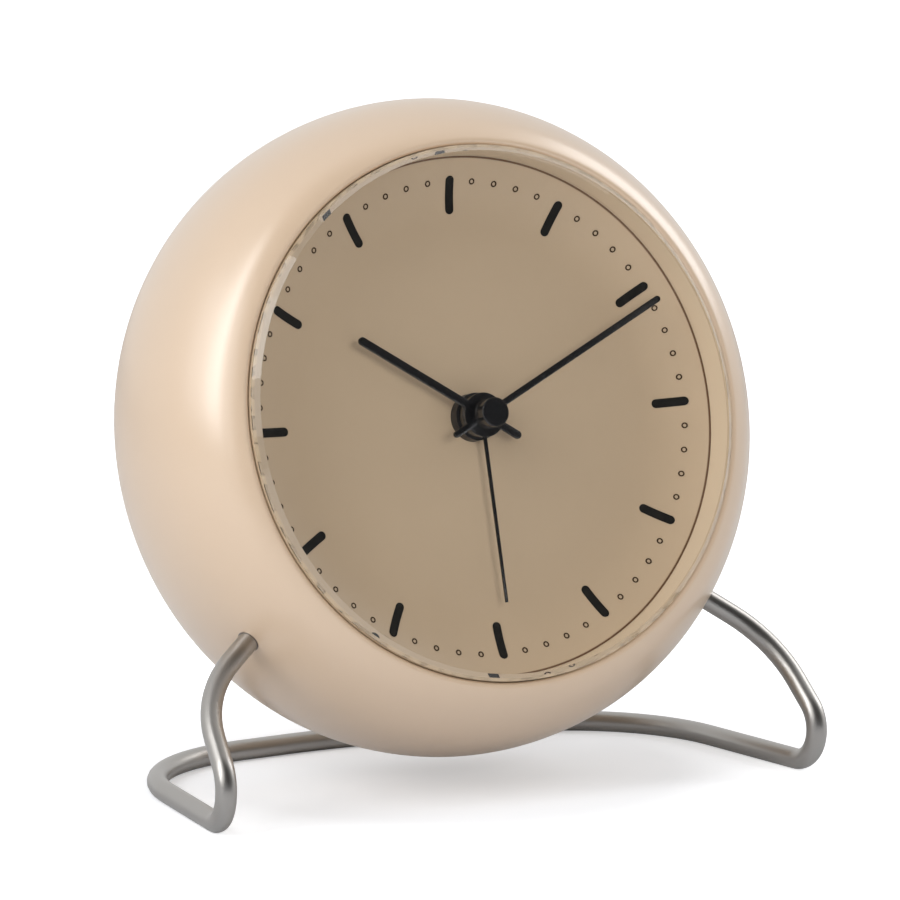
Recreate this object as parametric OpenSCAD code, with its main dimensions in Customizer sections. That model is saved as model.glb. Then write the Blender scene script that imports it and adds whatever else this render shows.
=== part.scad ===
// Round table alarm clock in a glossy shell, resting on a bent wire stand.
// Most pieces are drawn in the case frame: the dial's axis is Z, pointing out of the dial,
// X runs to the right of the dial and Y up it. Its zero height is the level of the minute dots.
// in_case() tips that frame back and lifts it over the floor, which is the plane Z = 0.

/* [Placement] */
// Backward tilt of the dial, in degrees
case_tilt = 14; // [5:0.5:25]
// Height of the dial's centre over the floor
dial_height = 61.9; // [58:0.1:90]
// Distance of the dial's centre in front of the origin
dial_forward = 13.3; // [0:0.1:40]

/* [Case shell] */
// Largest radius of the shell, at its equator
shell_r = 55; // [50:0.5:75]
// Depth of the case behind the dial's level
back_depth = 37.4; // [36:0.1:42]
// Radius of the flat middle arc of the shell's side
side_arc_r = 42; // [36:0.5:50]
// Angle where the middle arc meets the shoulder arc, in degrees
side_arc_end = 12; // [8:0.5:16]
// Radius of the shoulder arc
shoulder_arc_r = 24; // [20:0.5:28]
// Angle where the shoulder arc meets the rim arc, in degrees
shoulder_arc_end = 40; // [34:1:46]
// Radius of the rim arc, at the front and at the back
rim_arc_r = 9; // [7:0.25:11]
// Radius of the small rounded lip at the front opening
lip_r = 0.85; // [0.5:0.05:1.2]
// Wall thickness of the shell
shell_wall = 2.4; // [1.6:0.1:3]
// Radius of the opening in the back
back_opening_r = 39.5; // [38:0.25:41]
// Radius of the hole in the ledge that carries the rear cover
back_ledge_hole_r = 37.2; // [36.8:0.1:38.5]
// Thickness of the ledges inside the shell
ledge_t = 1.6; // [1.2:0.1:3]

/* [Lens and dial ring] */
// Radius of the lens
lens_r = 44.2; // [42:0.1:50]
// Thickness of the lens
lens_t = 1.4; // [1:0.1:2]
// Height of the lens's front face over the dots' level
lens_front = 8.4; // [8:0.1:12]
// Width of the lens's bevel
lens_bevel = 1.1; // [0.3:0.05:1.3]
// Gap round the lens
lens_gap = 0.1; // [0.05:0.05:0.3]
// Thickness of the lens gasket
gasket_t = 0.4; // [0.2:0.1:0.6]
// Inner radius of the dial ring at the dial
ring_inner_r = 43.1; // [41:0.1:43.4]
// Widening of the dial ring's bore towards the lens
ring_flare = 0.25; // [0.1:0.05:0.5]

/* [Dial] */
// Radius of the dial
dial_r = 43.1; // [41:0.1:43.4]
// Thickness of the dial
dial_t = 0.8; // [0.5:0.1:1.2]
// Depth of the dial's flat middle below the dots' level
dial_depth = 1.95; // [1.5:0.05:2.4]
// Radius where the dial starts to curve forwards
dish_start_r = 31.8; // [28:0.1:36]
// Radius of the curve at the dial's edge
dish_arc_r = 20; // [18:0.5:40]
// Outer end of the hour markers
marker_outer_r = 40.1; // [38:0.1:42]
// Length of the hour markers
marker_len = 6.2; // [4:0.1:8]
// Width of the hour markers
marker_w = 1.5; // [0.8:0.1:2.5]
// Radius of the ring of minute dots
dots_r = 39.2; // [36:0.1:41]
// Outer diameter of a minute dot
dot_d = 1; // [0.8:0.05:1.4]
// Line width of a minute dot
dot_line = 0.22; // [0.15:0.01:0.3]
// Thickness of the printed marks
print_t = 0.08; // [0.05:0.01:0.15]

/* [Hands] */
// Clock angle of the hour hand, in degrees from twelve
hour_angle = 303; // [0:1:359]
// Clock angle of the minute hand, in degrees from twelve
minute_angle = 63.6; // [0:0.1:359]
// Clock angle of the alarm hand, in degrees from twelve
alarm_angle = 178.8; // [0:0.1:359]
// Reach of the hour hand
hour_len = 25.4; // [18:0.1:30]
// Tail of the hour hand
hour_tail = 7.5; // [5:0.1:12]
// Width of the hour hand
hour_w = 1.4; // [0.8:0.1:2.4]
// Reach of the minute hand
minute_len = 38.9; // [30:0.1:41]
// Tail of the minute hand
minute_tail = 7.2; // [5:0.1:12]
// Width of the minute hand
minute_w = 1.1; // [0.6:0.1:2]
// Reach of the alarm hand
alarm_len = 31; // [20:0.1:36]
// Width of the alarm hand at its boss
alarm_root_w = 0.62; // [0.4:0.02:1]
// Width of the alarm hand at its tip
alarm_tip_w = 0.42; // [0.2:0.02:0.8]
// Thickness of the hour and minute hands
hand_t = 0.55; // [0.4:0.05:0.6]
// Thickness of the alarm hand
alarm_hand_t = 0.35; // [0.3:0.05:0.5]
// Radius of the hour hand's boss
hour_boss_r = 3.7; // [3:0.1:5]
// Radius of the alarm hand's boss
alarm_boss_r = 3.6; // [3:0.1:5]
// Radius of the cap and of the minute hand's collar
cap_r = 2.45; // [2:0.05:3.2]
// Height of the cap's face over the dots' level
cap_top = 6.6; // [6:0.05:6.7]
// Radius of the bush that shows in the middle of the dial
bush_r = 3.95; // [3.6:0.05:5]

/* [Stand] */
// Diameter of the stand's rod
rod_d = 3.5; // [2.5:0.1:5]
// Angle of the rod's ends below the dial's horizontal, in degrees
rod_drop_angle = 37.7; // [30:0.1:50]
// Angle of the shell's side where the rod enters it, in degrees forward of the equator
rod_entry_angle = 12; // [0:0.5:12]
// Length of the rod from the shell to its first bend's corner
rod_stem_len = 13.6; // [11:0.1:20]
// Half width of the stand at its front corners
stand_front_x = 55.9; // [50:0.1:66]
// Distance of the front corners in front of the dial's centre
stand_front_y = 27.4; // [24:0.1:40]
// Half width of the stand at its rear corners
stand_rear_x = 48.7; // [40:0.1:60]
// Distance of the rear corners behind the dial's centre
stand_rear_y = 34.3; // [30:0.1:50]
// Half width of the straight part of the rear run
stand_back_x = 10.8; // [8:0.1:20]
// Distance of the rear run behind the dial's centre
stand_back_y = 38.6; // [34:0.1:60]
// Bend radius at the shoulder
bend_shoulder_r = 19.6; // [10:0.1:22]
// Bend radius at the front corners
bend_front_r = 5.8; // [4:0.1:8]
// Bend radius at the rear corners
bend_rear_r = 29; // [10:0.5:34]
// Bend radius of the bowed rear run
bend_back_r = 100; // [40:5:140]
// Depth of the rod's ends inside the shell
rod_socket_depth = 5; // [3:0.5:6]
// Radius of the sockets inside the shell
socket_r = 3.4; // [2.8:0.1:4]

/* [Movement] */
// Side of the square movement
movement_side = 56; // [55:0.5:56.5]
// Corner radius of the movement
movement_corner_r = 4; // [3:0.5:6]
// Wall thickness of the movement's case
movement_wall = 1.2; // [0.8:0.1:1.5]
// Total depth of the movement
movement_depth = 14.5; // [14.3:0.1:14.7]
// Depth of the front half of the movement's case
movement_base_depth = 7.5; // [7.45:0.05:7.8]
// Distance of the movement's screws from its left and right sides
screw_inset_x = 3.8; // [3.6:0.1:5]
// Distance of the movement's screws from its top and bottom
screw_inset_y = 2.6; // [2.4:0.1:2.8]
// Thickness of the dial carrier
carrier_t = 2; // [1.6:0.1:2.4]
// Outer radius of the dial carrier
carrier_r = 44; // [42:0.1:44.1]
// Radius of the circle of the carrier's screws
carrier_screw_circle_r = 41.6; // [41:0.1:42]

/* [Gears] */
// Tooth module of the train wheels
train_module = 0.3; // [0.28:0.01:0.31]
// Tooth module of the minute wheel and its mates
motion_module = 0.34; // [0.33:0.005:0.35]
// Tooth module of the alarm wheel and its mate
alarm_module = 0.513; // [0.5:0.001:0.52]
// Radius of the wheels' arbors
arbor_r = 0.5; // [0.4:0.05:0.6]
// Radius of the minute arbor
minute_arbor_r = 0.75; // [0.6:0.05:0.8]
// Radius of the hour wheel's tube
hour_tube_r = 1.6; // [1.4:0.05:1.7]
// Radius of the alarm wheel's tube
alarm_tube_r = 2.4; // [2.2:0.05:2.5]
// Running clearance of a shaft in its bore
run_gap = 0.06; // [0.04:0.01:0.1]

/* [Controls] */
// Radius of the setting knobs
knob_r = 6; // [4:0.1:6.2]
// Height of the setting knobs
knob_h = 4.6; // [3:0.1:5.5]
// Half spacing of the setting knobs
knob_x = 12.5; // [12.5:0.1:12.6]
// Height of the setting knobs over the dial's centre
knob_y = 9; // [8.8:0.1:9.2]
// Radius of a setting shaft
set_shaft_r = 1.5; // [1.2:0.1:1.8]
// Grooves round a setting knob
knob_grooves = 24; // [12:1:36]
// Width of the alarm switch's thumb piece
switch_w = 4; // [3:0.1:4.5]
// Height of the alarm switch's thumb piece
switch_h = 2.6; // [2:0.1:3.4]
// Travel of the alarm switch
switch_travel = 4; // [2:0.1:4.4]
// Height of the snooze button over the dial's centre
button_y = 24; // [22:0.1:24.5]
// Radius of the snooze button
button_r = 5; // [3.5:0.1:5.5]
// Travel of the snooze button
button_travel = 0.8; // [0.4:0.1:1.2]

/* [Battery] */
// Diameter of the battery
battery_d = 14.2; // [13.5:0.1:14.3]
// Length of the battery's can
battery_len = 49.2; // [48:0.1:49.4]
// Height of the battery's axis below the dial's centre
battery_drop = 15; // [14.8:0.1:15.4]
// Thickness of the battery door
door_t = 1.4; // [1:0.1:1.5]
// Thickness of the rear cover
cover_t = 2.4; // [2:0.1:2.5]

/* [Hidden] */
$fn = 96;
fine_fn = 32;
overrun = 1;
body_gap = 0.3;
fit_gap = 0.05;
// The shell's arcs: growth of each over the last, overlap in degrees, and how far in their core ends
blend = 0.01;
arc_lap = 4;
core_inset = 1;

// Profile of the shell, as the centres of its arcs in radius and height
side_c_r = shell_r - side_arc_r;
shoulder_c_r = side_c_r + (side_arc_r - shoulder_arc_r) * cos(side_arc_end);
shoulder_rise = (side_arc_r - shoulder_arc_r) * sin(side_arc_end);
rim_rise = (shoulder_arc_r - rim_arc_r) * sin(shoulder_arc_end);
equator_back = back_depth - shoulder_rise - rim_rise - rim_arc_r;
shoulder_c_z = -equator_back + shoulder_rise;
rim_c_r = shoulder_c_r + (shoulder_arc_r - rim_arc_r) * cos(shoulder_arc_end);
rim_c_z = shoulder_c_z + rim_rise;
opening_r = lens_r + lens_gap;
lip_c_r = opening_r + lip_r;
lip_c_z = rim_c_z + sqrt(pow(rim_arc_r - lip_r, 2) - pow(lip_c_r - rim_c_r, 2));
lip_angle = atan2(lip_c_z - rim_c_z, lip_c_r - rim_c_r);
back_face_z = -back_depth;

// Heights of the face's pieces
lens_back_z = lens_front - lens_t;
ring_top_z = lens_back_z - gasket_t;
ring_outer_r = lens_r;
marker_inner_r = marker_outer_r - marker_len;
dish_c_z = dish_arc_r - dial_depth;
dial_edge_z = dish_c_z - sqrt(pow(dish_arc_r, 2) - pow(dial_r - dish_start_r, 2));
carrier_front_z = -dial_depth - dial_t;
carrier_back_z = carrier_front_z - carrier_t;

// Heights of the hands, from the bush outwards
bush_top_z = 0.05;
alarm_boss_h = 1.4;
collar_h = 1.2;
alarm_boss_z = bush_top_z + body_gap;
hour_boss_z = alarm_boss_z + alarm_boss_h + body_gap;
collar_z = hour_boss_z + hand_t + body_gap;
minute_hand_z = collar_z + fit_gap * 3;
collar_top_z = collar_z + collar_h;
cap_chamfer = 0.15;

// Places of the movement's screws
movement_screw_x = movement_side / 2 - screw_inset_x;
movement_screw_y = movement_side / 2 - screw_inset_y;

// Heights inside the movement
movement_back_z = carrier_back_z - movement_depth;
movement_split_z = carrier_back_z - movement_base_depth;
front_plate_z = carrier_back_z - movement_wall;
back_plate_z = movement_back_z + movement_wall;
layer_gap = 0.4;
wheel_t = 0.8;
thick_wheel_t = 1.2;
alarm_wheel_t = 1;
train_plate_t = 1;
pinion_extra = 0.1;
strip_t = 0.2;
alarm_wheel_z = front_plate_z - strip_t - body_gap - alarm_wheel_t;
hour_wheel_z = alarm_wheel_z - layer_gap - thick_wheel_t;
minute_wheel_z = hour_wheel_z - layer_gap - thick_wheel_t;
train_plate_z = minute_wheel_z - layer_gap - train_plate_t;
centre_wheel_z = train_plate_z - layer_gap - wheel_t;
third_wheel_z = centre_wheel_z - layer_gap - wheel_t;
fourth_wheel_z = third_wheel_z - layer_gap - wheel_t;
fifth_wheel_z = fourth_wheel_z - layer_gap - wheel_t;
pivot_depth = 0.5;
stator_t = 1;
stator_z = train_plate_z - 1.5 * stator_t - stator_t;
stator_posts_h = train_plate_z - stator_z - stator_t;

// Teeth of the wheels and pinions
cannon_teeth = 12;
minute_teeth = 36;
minute_pinion_teeth = 10;
hour_teeth = 40;
alarm_teeth = 40;
alarm_set_teeth = 20;
pinion_teeth = 8;
centre_teeth = 64;
third_teeth = 60;
fourth_teeth = 40;
fifth_teeth = 36;
tooth_root_share = 0.27;
tooth_tip_share = 0.1;
tooth_depth_share = 1.15;
tooth_height_share = 0.85;

// Centre distances and places of the axes, seen from the front
motion_distance = motion_module * (cannon_teeth + minute_teeth) / 2;
hour_module = 2 * motion_distance / (minute_pinion_teeth + hour_teeth);
knob_reach = norm([knob_x, knob_y]);
knob_angle = atan2(knob_y, knob_x);
minute_axis_turn = acos(knob_reach / 2 / motion_distance);
minute_axis_angle = 180 - knob_angle + minute_axis_turn;
minute_axis = motion_distance * [cos(minute_axis_angle), sin(minute_axis_angle)];
time_axis = [-knob_x, knob_y];
alarm_axis = [knob_x, knob_y];
alarm_set_module = 2 * knob_reach / (alarm_teeth + alarm_set_teeth);
third_angle = 215;
fourth_angle = 320;
fifth_angle = 10;
rotor_angle = 340;
third_axis = mesh_step(third_angle, centre_teeth);
fourth_axis = third_axis + mesh_step(fourth_angle, third_teeth);
fifth_axis = fourth_axis + mesh_step(fifth_angle, fourth_teeth);
rotor_axis = fifth_axis + mesh_step(rotor_angle, fifth_teeth);

// Rear cover, battery and controls
cover_recess = 0.4;
cover_back_z = back_face_z + cover_recess;
cover_front_z = cover_back_z + cover_t;
cover_r = back_opening_r - body_gap;
tab_r = 3.2;
tab_circle_r = back_ledge_hole_r - tab_r / 2;
movement_air = 0.3;
tray_wall = 0.8;
tray_air = 0.4;
tray_top_z = movement_back_z - movement_air;
battery_z = tray_top_z - tray_wall - 2 * fit_gap - battery_d / 2;
battery_nub_r = 2.75;
battery_nub_h = 1;
contact_t = 0.4;
contact_side = 9;
contact_bow = 1.6;
tray_half_x = (battery_len + battery_nub_h) / 2 + contact_bow + contact_t;
tray_half_y = battery_d / 2 + tray_air;
battery_x = -battery_nub_h / 2 + (contact_bow - contact_t) / 2;
door_gap = 0.3;
door_overlap = 1.4;
door_half_x = tray_half_x + door_overlap - door_gap;
door_half_y = tray_half_y + door_overlap - door_gap;
hinge_r = 0.5;
hinge_len = 0.7;
hinge_y = -battery_drop - door_half_y + door_t / 2;
hinge_z = cover_back_z + door_t / 2;
knob_base_z = cover_back_z - body_gap;
knob_groove_r = 0.4;
shaft_hole_gap = 0.4;
switch_y = 9;
switch_flange_half_x = 4;
switch_flange_half_y = 2.4;
switch_flange_t = 0.8;
switch_stand_out = 0.8;
switch_body_x = 15.6;
switch_body_y = 7.6;
switch_body_z = 4;
button_flange = 1.2;
button_flange_t = 1;
button_stand_out = 1.2;
button_stem_r = 1.2;
tact_side = 6;
tact_h = 3.5;
plunger_r = 1.5;
plunger_h = 0.6;
buzzer_r = 8;
buzzer_h = 3.5;
buzzer_place = [-19, 20];
sound_hole_r = 0.8;
sound_ring_r = 3.4;

// Screws
small_screw_r = 1;
small_head_r = 1.7;
small_head_h = 1.2;
slot_w = 0.5;
slot_depth = 0.5;
washer_t = 0.5;
washer_r = 2.3;
socket_floor = 1.6;

// Circuit board
board_x = 18;
board_y = 14;
board_t = 0.8;
board_mid_y = 19;
chip_side = 4.4;
chip_t = 0.9;
chip_x = -4;
crystal_r = 1;
crystal_len = 6;
crystal_x = 5;
coil_r = 2.2;
coil_len = 14.5;
core_w = 2;
core_y = -23;
leg_w = 3.5;
coil_left_x = 0.5;
coil_right_x = 23;
magnet_r = 2.5;
magnet_h = 2.2;
stator_air = 0.5;

// Step from one axis to the next, at the centre distance of a train wheel and a pinion
function mesh_step(angle, teeth) =
    train_module * (teeth + pinion_teeth) / 2 * [cos(angle), sin(angle)];

// Unit vector along v
function unit(v) = v / norm(v);

// Direction v of the case frame, in the frame of the floor
function turn_to_floor(v) = [
    v.x,
    v.y * sin(case_tilt) - v.z * cos(case_tilt),
    v.y * cos(case_tilt) + v.z * sin(case_tilt),
];

// Point p of the case frame, in the frame of the floor
function to_floor(p) = turn_to_floor(p) + [0, -dial_forward, dial_height];

// Places its children, drawn in the case frame, over the floor
module in_case() {
    translate([0, -dial_forward, dial_height])
        rotate([90 - case_tilt, 0, 0])
            children();
}

// Round bar from height z0 to height z1
module bar(r, z0, z1) {
    translate([0, 0, z0])
        cylinder(r = r, h = z1 - z0);
}

// Round bar with a bore
module tube(r, bore, z0, z1) {
    difference() {
        bar(r, z0, z1);
        bar(bore, z0 - overrun, z1 + overrun);
    }
}

// Block of size [x, y], centred on the axis, from height z0 to height z1
module block(size, z0, z1) {
    translate([-size.x / 2, -size.y / 2, z0])
        cube([size.x, size.y, z1 - z0]);
}

// Flat bar with round ends along Y, from y0 to y1
module capsule(w, y0, y1) {
    translate([-w / 2, y0 + w / 2])
        square([w, y1 - y0 - w]);
    for (y = [y0 + w / 2, y1 - w / 2])
        translate([0, y])
            circle(w / 2, $fn = fine_fn);
}

// Turns its children to a clock angle
module at_clock(angle) {
    rotate([0, 0, -angle])
        children();
}

// Wedge of a disc between two angles, which is one arc of the shell's profile
module sector(c, r, a0, a1) {
    mid = (a0 + a1) / 2;
    intersection() {
        translate(c)
            circle(r);
        polygon([
            c,
            c + 2 * r * [cos(a0), sin(a0)],
            c + 2 * r * [cos(mid), sin(mid)],
            c + 2 * r * [cos(a1), sin(a1)],
        ]);
    }
}

// One half of the shell's profile, from the equator forwards, moved in by inset.
// Each arc is drawn past its neighbour and a hair larger, so that the two cross clearly.
module half_section(inset, end_angle, end_point) {
    shoulder_c = [shoulder_c_r, shoulder_c_z];
    rim_c = [rim_c_r, rim_c_z];
    side = side_arc_r - inset - core_inset;
    shoulder = shoulder_arc_r - inset - core_inset;
    rim = rim_arc_r - inset - core_inset;
    sector(shoulder_c, shoulder + core_inset + blend, side_arc_end - arc_lap, shoulder_arc_end + arc_lap / 4);
    sector(rim_c, rim + core_inset + 2 * blend, shoulder_arc_end - arc_lap, end_angle);
    polygon([
        [0, -equator_back - core_inset],
        [side_c_r + side, -equator_back - core_inset],
        shoulder_c + shoulder * [cos(side_arc_end), sin(side_arc_end)],
        rim_c + rim * [cos(shoulder_arc_end), sin(shoulder_arc_end)],
        end_point,
        [0, end_point.y],
    ]);
}

// The shell's profile, front and back, moved in by inset
module shell_section(inset) {
    rim = rim_arc_r - inset;
    side_span = side_arc_end + arc_lap / 4;
    sector([side_c_r, -equator_back], side_arc_r - inset, -side_span, side_span);
    half_section(
        inset,
        lip_angle,
        [rim_c_r, rim_c_z] + (rim - core_inset) * [cos(lip_angle), sin(lip_angle)]
    );
    translate([0, -2 * equator_back])
        mirror([0, 1])
            half_section(inset, 90 + arc_lap, [rim_c_r, rim_c_z + rim]);
}

function arc_points(c, r, a0, a1, n) = [
    for (i = [0:n - 1])
        c + r * [cos(a0 + (a1 - a0) * i / n), sin(a0 + (a1 - a0) * i / n)]
];

// Points of one half of the cavity, from the equator to the angle where the rim arc ends
function cavity_points(end_angle) = concat(
    arc_points([side_c_r, -equator_back], side_arc_r - shell_wall, 0, side_arc_end, 3),
    arc_points([shoulder_c_r, shoulder_c_z], shoulder_arc_r - shell_wall, side_arc_end, shoulder_arc_end, 4),
    arc_points([rim_c_r, rim_c_z], rim_arc_r - shell_wall, shoulder_arc_end, end_angle, 5)
);

// Profile of the hollow inside the shell, in short straight steps because nobody sees it
module cavity_section() {
    floor_z = cover_front_z + ledge_t / 2;
    front = cavity_points(lip_angle);
    back = [
        for (p = cavity_points(90))
            if (-2 * equator_back - p.y > floor_z)
                [p.x, -2 * equator_back - p.y]
    ];
    last = len(back) - 1;
    top = [rim_c_r, rim_c_z] + (rim_arc_r - shell_wall) * [cos(lip_angle), sin(lip_angle)];
    polygon(concat(
        [[0, floor_z], [back[last].x, floor_z]],
        [for (i = [last:-1:1]) back[i]],
        front,
        [top, [0, top.y]]
    ));
}

// Cut of the front opening with its rounded lip
module opening_section() {
    translate([0, -equator_back])
        square([opening_r, equator_back + lip_c_z]);
    difference() {
        translate([0, lip_c_z])
            square([lip_c_r, lip_r + overrun]);
        translate([lip_c_r, lip_c_z])
            circle(lip_r + 3 * blend);
    }
}

// Ring inside the shell, fused to its wall
module shell_ledge(hole_r, z0, z1) {
    intersection() {
        rotate_extrude()
            shell_section(shell_wall / 2);
        tube(shell_r, hole_r, z0, z1);
    }
}

// Where the rod enters the right side of the shell, and the way out of it there
rod_out = [
    cos(rod_entry_angle) * cos(rod_drop_angle),
    -cos(rod_entry_angle) * sin(rod_drop_angle),
    sin(rod_entry_angle),
];
entry_r = side_c_r + side_arc_r * cos(rod_entry_angle);
entry_point = [
    entry_r * cos(rod_drop_angle),
    -entry_r * sin(rod_drop_angle),
    -equator_back + side_arc_r * sin(rod_entry_angle),
];

// Turns its children so that their Z runs along direction d from point p
module along(p, d) {
    translate(p)
        rotate([0, acos(d.z / norm(d)), atan2(d.y, d.x)])
            children();
}

// Children drawn along the rod's end, from its entry outwards, on both sides
module at_rod_ends() {
    for (side = [0, 1])
        mirror([side, 0, 0])
            along(entry_point, rod_out)
                children();
}

module housing() {
    socket_depth = rod_socket_depth + socket_floor;
    color("#e2cbb3")
        in_case()
            difference() {
                union() {
                    rotate_extrude()
                        difference() {
                            union() {
                                shell_section(0);
                                translate([lip_c_r, lip_c_z])
                                    circle(lip_r + 3 * blend);
                            }
                            cavity_section();
                            opening_section();
                            translate([0, back_face_z - overrun])
                                square([back_opening_r, cover_front_z + ledge_t - back_face_z + overrun]);
                        }
                    // The movement passes through this ledge when the face goes in from the front
                    difference() {
                        shell_ledge(movement_side / 2, carrier_back_z - ledge_t, carrier_back_z);
                        movement_block(-body_gap, carrier_back_z - ledge_t - overrun,
                            carrier_back_z + overrun);
                    }
                    shell_ledge(back_ledge_hole_r, cover_front_z, cover_front_z + ledge_t);
                    at_cover_screws()
                        bar(tab_r, cover_front_z, cover_front_z + ledge_t);
                    at_rod_ends()
                        bar(socket_r, -socket_depth - socket_floor / 2, -shell_wall / 3);
                }
                at_rod_ends() {
                    bar(rod_d / 2 + fit_gap, -rod_socket_depth - fit_gap, overrun);
                    bar(small_screw_r + fit_gap, -socket_depth - overrun, 0);
                    bar(socket_r + body_gap, -socket_depth - socket_floor - washer_r, -socket_depth);
                }
                at_carrier_screws()
                    bar(small_screw_r + fit_gap, carrier_back_z - ledge_t - overrun,
                        carrier_back_z + overrun);
                at_cover_screws()
                    bar(small_screw_r + fit_gap, cover_front_z - overrun,
                        cover_front_z + ledge_t + overrun);
            }
}

module at_carrier_screws() {
    for (angle = [0:90:270])
        rotate([0, 0, angle])
            translate([carrier_screw_circle_r, 0, 0])
                children();
}

module at_cover_screws() {
    for (angle = [30:120:270])
        rotate([0, 0, angle])
            translate([tab_circle_r, 0, 0])
                children();
}

module at_movement_screws() {
    for (x = [-1, 1])
        for (y = [-1, 1])
            translate([x * movement_screw_x, y * movement_screw_y, 0])
                children();
}

// Slotted screw with its head below z and its shank up to z1
module screw(r, head_r, head_h, z, z1) {
    difference() {
        union() {
            bar(r, z - head_h / 2, z1);
            bar(head_r, z - head_h, z);
        }
        block([2 * head_r + overrun, slot_w], z - head_h - overrun, z - head_h + slot_depth);
    }
}

module rear_cover() {
    color("#d9c3ab")
        in_case()
            difference() {
                union() {
                    bar(cover_r, cover_back_z, cover_front_z);
                    translate([0, -battery_drop, 0])
                        block(2 * [tray_half_x + tray_wall, tray_half_y + tray_wall],
                            cover_front_z - fit_gap, tray_top_z);
                }
                translate([0, -battery_drop, 0]) {
                    block(2 * [tray_half_x, tray_half_y], cover_back_z - overrun, tray_top_z - tray_wall);
                    block(2 * [door_half_x + door_gap, door_half_y + door_gap],
                        cover_back_z - overrun, cover_back_z + door_t + door_gap);
                }
                translate([0, hinge_y, hinge_z])
                    rotate([0, 90, 0])
                        bar(hinge_r + fit_gap, -door_half_x - hinge_len - 2 * door_gap,
                            door_half_x + hinge_len + 2 * door_gap);
                for (x = [-1, 1])
                    translate([x * knob_x, knob_y, 0])
                        bar(set_shaft_r + shaft_hole_gap, cover_back_z - overrun, cover_front_z + overrun);
                translate([0, button_y, 0])
                    bar(button_r + body_gap, cover_back_z - overrun, cover_front_z + overrun);
                translate([0, switch_y, 0])
                    block([switch_w + switch_travel + 2 * body_gap, switch_h + 2 * body_gap],
                        cover_back_z - overrun, cover_front_z + overrun);
                translate(buzzer_place) {
                    bar(sound_hole_r, cover_back_z - overrun, cover_front_z + overrun, $fn = fine_fn);
                    for (angle = [0:60:300])
                        rotate([0, 0, angle])
                            translate([sound_ring_r, 0, 0])
                                bar(sound_hole_r, cover_back_z - overrun,
                                    cover_front_z + overrun, $fn = fine_fn);
                }
                at_cover_screws() {
                    bar(small_screw_r + fit_gap, cover_back_z - overrun, cover_front_z + overrun);
                    bar(small_head_r + fit_gap, cover_back_z - overrun, cover_back_z + small_head_h);
                }
            }
}

module rear_cover_screws() {
    color("#8f8c88")
        in_case()
            at_cover_screws()
                screw(small_screw_r, small_head_r, small_head_h, cover_back_z + small_head_h,
                    cover_front_z + ledge_t);
}

// Corners of the stand's right half, from inside the shell to the middle of the rear run
rod_r = rod_d / 2;
stand_half_route = [
    to_floor(entry_point - rod_socket_depth * rod_out),
    to_floor(entry_point + rod_stem_len * rod_out),
    [stand_front_x, -stand_front_y - dial_forward, rod_r],
    [stand_rear_x, stand_rear_y - dial_forward, rod_r],
    [stand_back_x, stand_back_y - dial_forward, rod_r],
    [0, stand_back_y - dial_forward, rod_r],
];
stand_half_bends = [0, bend_shoulder_r, bend_front_r, bend_rear_r, bend_back_r, 0];
rod_join_gap = 0.05;
rod_join_half = 0.15;
rod_join_extra = 0.01;

// Way along the route from corner i to the next one, and the length a bend takes from it
function route_way(i) = unit(stand_half_route[i + 1] - stand_half_route[i]);
function bend_turn(i) = acos(route_way(i - 1) * route_way(i));
function bend_reach(i) = stand_half_bends[i] == 0 ? 0 : stand_half_bends[i] * tan(bend_turn(i) / 2);

// Straight rod between corners i and i + 1, which stops just short of the bends
module rod_straight(i) {
    way = route_way(i);
    start = stand_half_route[i] + (bend_reach(i) + (i == 0 ? 0 : rod_join_gap)) * way;
    end = stand_half_route[i + 1] - (bend_reach(i + 1) + rod_join_gap) * way;
    along(start, end - start)
        bar(rod_r, 0, norm(end - start));
}

// Bend of the rod at corner i
module rod_bend(i) {
    way_in = route_way(i - 1);
    normal = unit(cross(way_in, route_way(i)));
    inward = cross(normal, way_in);
    centre = stand_half_route[i] - bend_reach(i) * way_in + stand_half_bends[i] * inward;
    multmatrix([
        [-inward.x, way_in.x, normal.x, centre.x],
        [-inward.y, way_in.y, normal.y, centre.y],
        [-inward.z, way_in.z, normal.z, centre.z],
        [0, 0, 0, 1],
    ])
        rotate_extrude(angle = bend_turn(i))
            translate([stand_half_bends[i], 0])
                circle(rod_r);
}

// Hair-thin sleeve that joins a straight to a bend, at a point on the route
module rod_join(point, way) {
    along(point, way)
        bar(rod_r + rod_join_extra, -rod_join_half, rod_join_half);
}

// One half of the stand, up to the straight in the middle of the rear run
module stand_half() {
    last = len(stand_half_route) - 2;
    for (i = [0:last - 1])
        rod_straight(i);
    for (i = [1:last]) {
        rod_bend(i);
        rod_join(stand_half_route[i] - bend_reach(i) * route_way(i - 1), route_way(i - 1));
        rod_join(stand_half_route[i] + bend_reach(i) * route_way(i), route_way(i));
    }
}

module stand() {
    back = stand_half_route[4];
    back_half = stand_back_x - bend_reach(4) - rod_join_gap;
    color("#b9b4ad")
        difference() {
            union() {
                stand_half();
                mirror([1, 0, 0])
                    stand_half();
                translate([0, back.y, back.z])
                    rotate([0, 90, 0])
                        bar(rod_r, -back_half, back_half);
            }
            in_case()
                at_rod_ends()
                    bar(small_screw_r + fit_gap, -rod_socket_depth - overrun, fit_gap);
        }
}

module stand_screws() {
    head_z = -rod_socket_depth - socket_floor - washer_t;
    color("#8f8c88")
        in_case()
            at_rod_ends()
                screw(small_screw_r, small_head_r, small_head_h, head_z, 0);
}

module stand_washers() {
    washer_z = -rod_socket_depth - socket_floor - washer_t;
    color("#c9c6c0")
        in_case()
            at_rod_ends()
                tube(washer_r, small_screw_r + fit_gap, washer_z, washer_z + washer_t);
}

module lens() {
    color("white", 0.3)
        in_case() {
            bar(lens_r, lens_back_z, lens_front - lens_bevel);
            translate([0, 0, lens_front - lens_bevel])
                cylinder(r1 = lens_r, r2 = lens_r - lens_bevel, h = lens_bevel);
        }
}

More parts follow.
